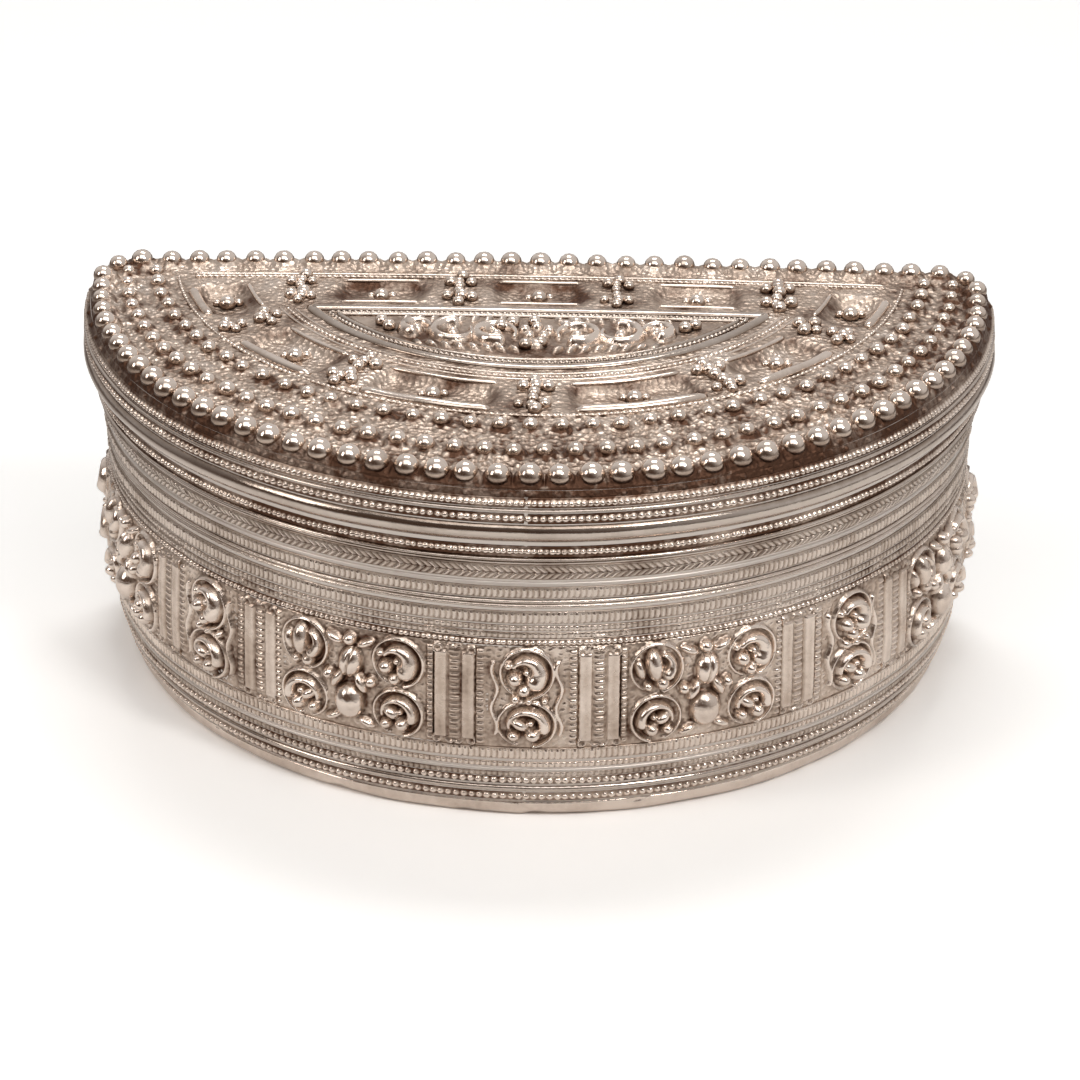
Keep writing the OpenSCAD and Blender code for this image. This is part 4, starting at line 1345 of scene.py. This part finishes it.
class PAAN_OT_moon(bpy.types.Operator):
    """The half-moon in the middle of the lid: its smooth rim, bead line and leaves"""
    bl_idname = "paan.moon"
    bl_label = "Half-Moon"

    def outline(self, lid, inset, step):
        """The half-moon's outline: an arc from tip to tip, then the straight edge back."""
        r = lid.moon_r - inset
        edge_y = lid.moon_y - inset
        reach = math.degrees(math.acos((lid.moon_c - edge_y) / r))
        ax, ay = arc_path(lid.moon_c, r, -reach, reach, step)
        lx, ly = line_path(ax[-1], edge_y, ax[0], edge_y, step)
        return np.concatenate([ax, lx[1:-1]]), np.concatenate([ay, ly[1:-1]])

    def ring(self, lid, inset, half, height, step, beads=0.0, z=0.0):
        """A rim of rounded section carried round the outline, its width measured across the outline."""
        x, y = self.outline(lid, inset, step)
        tx = np.roll(x, -1) - np.roll(x, 1)
        ty = np.roll(y, -1) - np.roll(y, 1)
        length = np.hypot(tx, ty)
        nx, ny = ty / length, -tx / length
        s = np.concatenate([[0.0], np.cumsum(np.hypot(np.diff(x), np.diff(y)))])
        swell = np.ones_like(s)
        if beads:
            pitch = s[-1] / round(s[-1] / beads)
            swell = 0.35 + 0.65 * np.abs(np.sin(math.pi * s / pitch)) ** 0.6
        around = np.linspace(0.0, TAU, 15)[:-1][:, None]
        off = np.cos(around) * half * swell
        up = np.sin(around) * height * swell
        centre = lid.on_top(x, y, z)
        points = np.stack([centre[:, 0] + off * nx, centre[:, 1] + off * ny, centre[:, 2] + up], axis=-1)
        # The top of the rim's section is lighter than its sides and underside: a painted highlight along the
        # rim
        level = 0.3 + 0.6 * np.clip(np.sin(around), 0.0, 1.0) + 0.0 * s
        return closed_mesh("moon_ring", points, level, True)

    def execute(self, context):
        lid = LidTop()
        rings = [self.ring(lid, 0.75, 0.8, 0.45, 0.4), self.ring(lid, 2.15, 0.32, 0.34, 0.16, beads=0.8),
                 self.ring(lid, 2.9, 0.35, 0.35, 0.4)]
        place_joined("moon_rim_rings", rings, "polished", "lid", ["moon_rim"])
        self.leaves(lid)
        self.bosses(lid)
        return {"FINISHED"}

    def field(self, u, v, half_v):
        """Leaf scrolls to both sides of the middle: curls of falling size, with small leaves along them."""
        shape = np.zeros(np.broadcast(u, v).shape)
        a = np.abs(u)
        for cu, cv, r, start, sweep in ((5.6, -0.3, 2.7, 200.0, -300.0), (11.6, 0.2, 2.6, 160.0, 290.0),
                                        (16.6, 1.2, 1.9, 210.0, -280.0)):
            shape = np.maximum(shape, curl(a, v, cu, cv, r, start, sweep, 0.4, 0.95, 1.7))
            shape = np.maximum(shape, dome(a, v, cu, cv, 0.9, 1.1))
        for k in range(9):
            cu = 3.0 + 1.9 * k
            cv = -half_v + 1.1 + 0.12 * cu
            shape = np.maximum(shape, oval(a, v, cu, cv, 1.15, 0.5, 50.0, 0.8))
            shape = np.maximum(shape, oval(a, v, cu, half_v - 1.5, 0.9, 0.42, -50.0, 0.7))
        shape = np.maximum(shape, dome(u, v, 0.0, -3.4, 1.2, 1.2))
        for k in range(5):
            t = math.radians(90.0 + 72.0 * k)
            shape = np.maximum(shape, dome(u, v, 1.7 * math.cos(t), 0.6 + 1.7 * math.sin(t), 0.85, 1.2))
        return shape

    def leaves(self, lid):
        inset = 3.6
        y1 = lid.moon_y - inset
        y0 = lid.moon_front + inset
        half_v = 0.5 * (y1 - y0)
        rows = int((y1 - y0) / 0.15)
        y = np.linspace(y0 + 0.05, y1, rows)[None, :]
        w = np.sqrt(np.maximum((lid.moon_r - inset) ** 2 - (lid.moon_c - y) ** 2, 0.01))
        u = np.linspace(-1.0, 1.0, 330)[:, None]
        x = u * w
        y = y + 0.0 * x
        rise = self.field(x, y - 0.5 * (y0 + y1) - 0.8, half_v)
        fade = smoothstep(22.0, 19.5, np.abs(x))
        rise = rise * fade
        ground = 0.07 + 0.07 * np.abs(ripple(x, y, 0.4))
        top = lid.on_top(x, y, np.maximum(rise, ground))
        bottom = np.stack([np.stack([k * w[0], y[0], 0.0 * w[0] + lid.top - 0.4], axis=-1)
                           for k in (1.0, -1.0)])
        level = np.concatenate([np.clip(0.22 + rise * 0.8 + ground, 0.0, 1.0), np.full((2, rows), 0.2)])
        mesh = closed_mesh("moon_leaf_field", np.concatenate([top, bottom]), level, False)
        place("moon_leaf_field", mesh, "chased", "lid", ["moon_leaves"])

    def bosses(self, lid):
        """Small round bosses in clusters over the leaves."""
        middle = lid.moon_front + 0.55 * (lid.moon_y - lid.moon_front)
        spots = ((-5.0, 2.0), (-3.4, 3.0), (4.0, 2.2), (5.4, 3.2), (-1.5, -4.0), (0.6, -3.4), (-0.4, 3.6),
                 (-20.5, 1.6), (20.5, 2.6), (-21.6, 3.2), (21.9, 3.6))
        x = np.array([p[0] for p in spots])
        y = middle + np.array([p[1] for p in spots])
        mesh = bead_mesh("moon_beads", lid, x, y, 0.95, 14, 0.2)
        place("moon_beads", mesh, "bead", "lid", ["moon_bosses"])


class PAAN_OT_base_finish(bpy.types.Operator):
    """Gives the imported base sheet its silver"""
    bl_idname = "paan.base_finish"
    bl_label = "Base Finish"

    def execute(self, context):
        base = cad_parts["base_plate"]
        base.data.materials.clear()
        base.data.materials.append(silver("sheet"))
        return {"FINISHED"}


class PAAN_OT_stage(bpy.types.Operator):
    """Floor, backdrop, lamps and camera"""
    bl_idname = "paan.stage"
    bl_label = "Stage"

    # Middle of the painted pool of light on the floor, and the side of the room that the silver mirrors
    # brightest
    painted_light_spot = (0.07, -0.08, 0.0)
    bright_side = (0.5, 0.8, 0.3)
    # Name, place, width and height in metres, power in watts and colour
    lamp_list = (("key", (0.4, -0.52, 0.7), (0.18, 0.18), 1.6, (1.0, 0.98, 0.95)),
                 ("front", (0.0, -0.5, 0.9), (0.9, 0.6), 2.6, (1.0, 0.99, 0.97)),
                 ("fill", (-0.7, -0.35, 0.5), (0.25, 0.4), 1.4, (1.0, 0.95, 0.9)),
                 ("top", (0.02, 0.34, 0.84), (0.45, 0.22), 2.1, (1.0, 0.99, 0.97)))
    lamp_aim = (0.0, 0.0, 0.03)
    aim_height = 0.026

    def execute(self, context):
        self.floor()
        self.backdrop()
        self.lamps()
        self.camera(context)
        return {"FINISHED"}

    def floor(self):
        """A wide floor that shows white to the camera and keeps the box's shadow; other rays see a painted
        pool of light round the box that fades to dark brown, and the silver also sees a faint glow.
        """
        mesh = bpy.data.meshes.new("floor")
        half = 6.0
        corners = [(-half, -half, 0.0), (half, -half, 0.0), (half, half, 0.0), (-half, half, 0.0)]
        mesh.from_pydata(corners, [], [(0, 1, 2, 3)])
        obj = bpy.data.objects.new("floor", mesh)
        bpy.context.scene.collection.objects.link(obj)
        mat = bpy.data.materials.new("pale_floor")
        tree = empty_tree(mat)
        out = node(tree, "ShaderNodeOutputMaterial", 600, 0)
        cloth = node(tree, "ShaderNodeBsdfDiffuse", 0, 100)
        spot = node(tree, "ShaderNodeNewGeometry", -1100, 300)
        away = node(tree, "ShaderNodeVectorMath", -900, 300)
        away.operation = "DISTANCE"
        away.inputs[1].default_value = self.painted_light_spot
        tree.links.new(spot.outputs["Position"], away.inputs[0])
        # Painted pool of light: pale round the box, fading to dark brown farther off
        fade = faded(tree, -700, 300, away.outputs["Value"], 0.13, 0.42)
        near, far = (0.95, 0.93, 0.91, 1.0), (0.16, 0.12, 0.1, 1.0)
        painted_pool = ramp_node(tree, -450, 300, fade, ((0.0, near), (1.0, far)))
        tree.links.new(painted_pool, cloth.inputs["Color"])
        glow = node(tree, "ShaderNodeEmission", 0, -100, Color=(1.0, 1.0, 1.0, 1.0), Strength=0.05)
        white = node(tree, "ShaderNodeBsdfDiffuse", 0, 300, Color=(1.44, 1.44, 1.44, 1.0))
        path = node(tree, "ShaderNodeLightPath", -500, 0)
        dark = node(tree, "ShaderNodeEmission", 0, -250, Color=(0.0, 0.0, 0.0, 1.0), Strength=0.0)
        glowing = mixed(tree, 200, -150, path.outputs["Is Glossy Ray"], dark.outputs[0], glow.outputs[0])
        shown = mixed(tree, 200, 200, path.outputs["Is Camera Ray"], cloth.outputs[0], white.outputs[0])
        both = node(tree, "ShaderNodeAddShader", 400, 0)
        tree.links.new(shown, both.inputs[0])
        tree.links.new(glowing, both.inputs[1])
        tree.links.new(both.outputs[0], out.inputs[0])
        mesh.materials.append(mat)

    def backdrop(self):
        """White behind the box for the camera and in the silver; dim room light for everything else."""
        world = bpy.data.worlds.new("studio")
        bpy.context.scene.world = world
        tree = empty_tree(world)
        out = node(tree, "ShaderNodeOutputWorld", 800, 0)
        coords = node(tree, "ShaderNodeTexCoord", -900, 0)
        towards = node(tree, "ShaderNodeVectorMath", -700, 0)
        towards.operation = "DOT_PRODUCT"
        towards.inputs[1].default_value = self.bright_side
        tree.links.new(coords.outputs["Generated"], towards.inputs[0])
        back = faded(tree, -450, 200, towards.outputs["Value"], -0.8, 0.45)
        dusk, day = (0.085, 0.055, 0.04, 1.0), (0.62, 0.6, 0.585, 1.0)
        room = ramp_node(tree, -200, 200, back, ((0.0, dusk), (1.0, day)))
        mirrored = node(tree, "ShaderNodeBackground", 100, 200, Strength=1.0)
        tree.links.new(room, mirrored.inputs[0])
        white = node(tree, "ShaderNodeBackground", 100, 50, Color=(1.0, 1.0, 1.0, 1.0), Strength=1.0)
        dim = node(tree, "ShaderNodeBackground", 100, -100, Color=(1.0, 0.98, 0.96, 1.0), Strength=0.2)
        path = node(tree, "ShaderNodeLightPath", -200, -250)
        seen = math_node(tree, "ADD", 100, -250, path.outputs["Is Glossy Ray"],
                         path.outputs["Is Transmission Ray"], clamp=True)
        indoors = mixed(tree, 350, 0, seen, dim.outputs[0], mirrored.outputs[0])
        shown = mixed(tree, 550, 0, path.outputs["Is Camera Ray"], indoors, white.outputs[0])
        tree.links.new(shown, out.inputs[0])

    def lamps(self):
        """Rectangular lamps, all aimed at the middle of the box."""
        for name, location, size, power, colour in self.lamp_list:
            light = bpy.data.lights.new(name, "AREA")
            light.shape = "RECTANGLE"
            light.size, light.size_y = size
            light.energy = power
            light.color = colour
            obj = bpy.data.objects.new(name, light)
            obj.location = location
            away = Vector(self.lamp_aim) - Vector(location)
            obj.rotation_euler = away.to_track_quat("-Z", "Y").to_euler()
            bpy.context.scene.collection.objects.link(obj)

    def camera(self, context):
        stage = context.scene.paan_stage
        plan = plan_now()
        target = Vector((0.0, (plan.arc_y - 0.5 * plan.arc_r) * MM, self.aim_height))
        az, el, roll = stage.camera_azimuth, stage.camera_elevation, stage.camera_roll
        back = Vector((math.sin(az) * math.cos(el), -math.cos(az) * math.cos(el), math.sin(el)))
        side = Vector((math.cos(az), math.sin(az), 0.0))
        up = back.cross(side)
        right = side * math.cos(roll) + up * math.sin(roll)
        top = up * math.cos(roll) - side * math.sin(roll)
        data = bpy.data.cameras.new("camera")
        data.sensor_width = 36.0
        data.lens = stage.lens
        data.shift_x = 0.0067
        data.shift_y = 0.0104
        data.clip_start = 0.01
        cam = bpy.data.objects.new("camera", data)
        turn = Matrix((right, top, back)).transposed().to_4x4()
        cam.matrix_world = Matrix.Translation(target + back * stage.camera_distance) @ turn
        context.scene.collection.objects.link(cam)
        context.scene.camera = cam
        context.scene.view_settings.view_transform = "Standard"


STEPS = (PAAN_OT_box_walls, PAAN_OT_box_bands, PAAN_OT_frieze, PAAN_OT_lid_side, PAAN_OT_lid_plate,
         PAAN_OT_lid_beads, PAAN_OT_lid_panel, PAAN_OT_moon, PAAN_OT_base_finish, PAAN_OT_stage)


class PAAN_PT_panel(bpy.types.Panel):
    """Lists the steps that build the box"""
    bl_label = "Paan Box"
    bl_idname = "PAAN_PT_panel"
    bl_space_type = "VIEW_3D"
    bl_region_type = "UI"
    bl_category = "Paan Box"

    def draw(self, context):
        for group in (context.scene.paan_sizes, context.scene.paan_silver, context.scene.paan_stage):
            for key in group.__annotations__:
                self.layout.prop(group, key)
        for step in STEPS:
            self.layout.operator(step.bl_idname)


CLASSES = (SilverBoxSizes, SilverLook, StageLook, *STEPS, PAAN_PT_panel)


def register():
    for cls in CLASSES:
        bpy.utils.register_class(cls)
    bpy.types.Scene.paan_sizes = bpy.props.PointerProperty(type=SilverBoxSizes)
    bpy.types.Scene.paan_silver = bpy.props.PointerProperty(type=SilverLook)
    bpy.types.Scene.paan_stage = bpy.props.PointerProperty(type=StageLook)


def unregister():
    for name in ("paan_sizes", "paan_silver", "paan_stage"):
        delattr(bpy.types.Scene, name)
    for cls in reversed(CLASSES):
        bpy.utils.unregister_class(cls)


def main():
    """Builds every piece and the stage."""
    register()
    bpy.ops.paan.box_walls()
    bpy.ops.paan.box_bands()
    bpy.ops.paan.frieze()
    bpy.ops.paan.lid_side()
    bpy.ops.paan.lid_plate()
    bpy.ops.paan.lid_beads()
    bpy.ops.paan.lid_panel()
    bpy.ops.paan.moon()
    bpy.ops.paan.base_finish()
    bpy.ops.paan.stage()


if __name__ == "__main__":
    main()
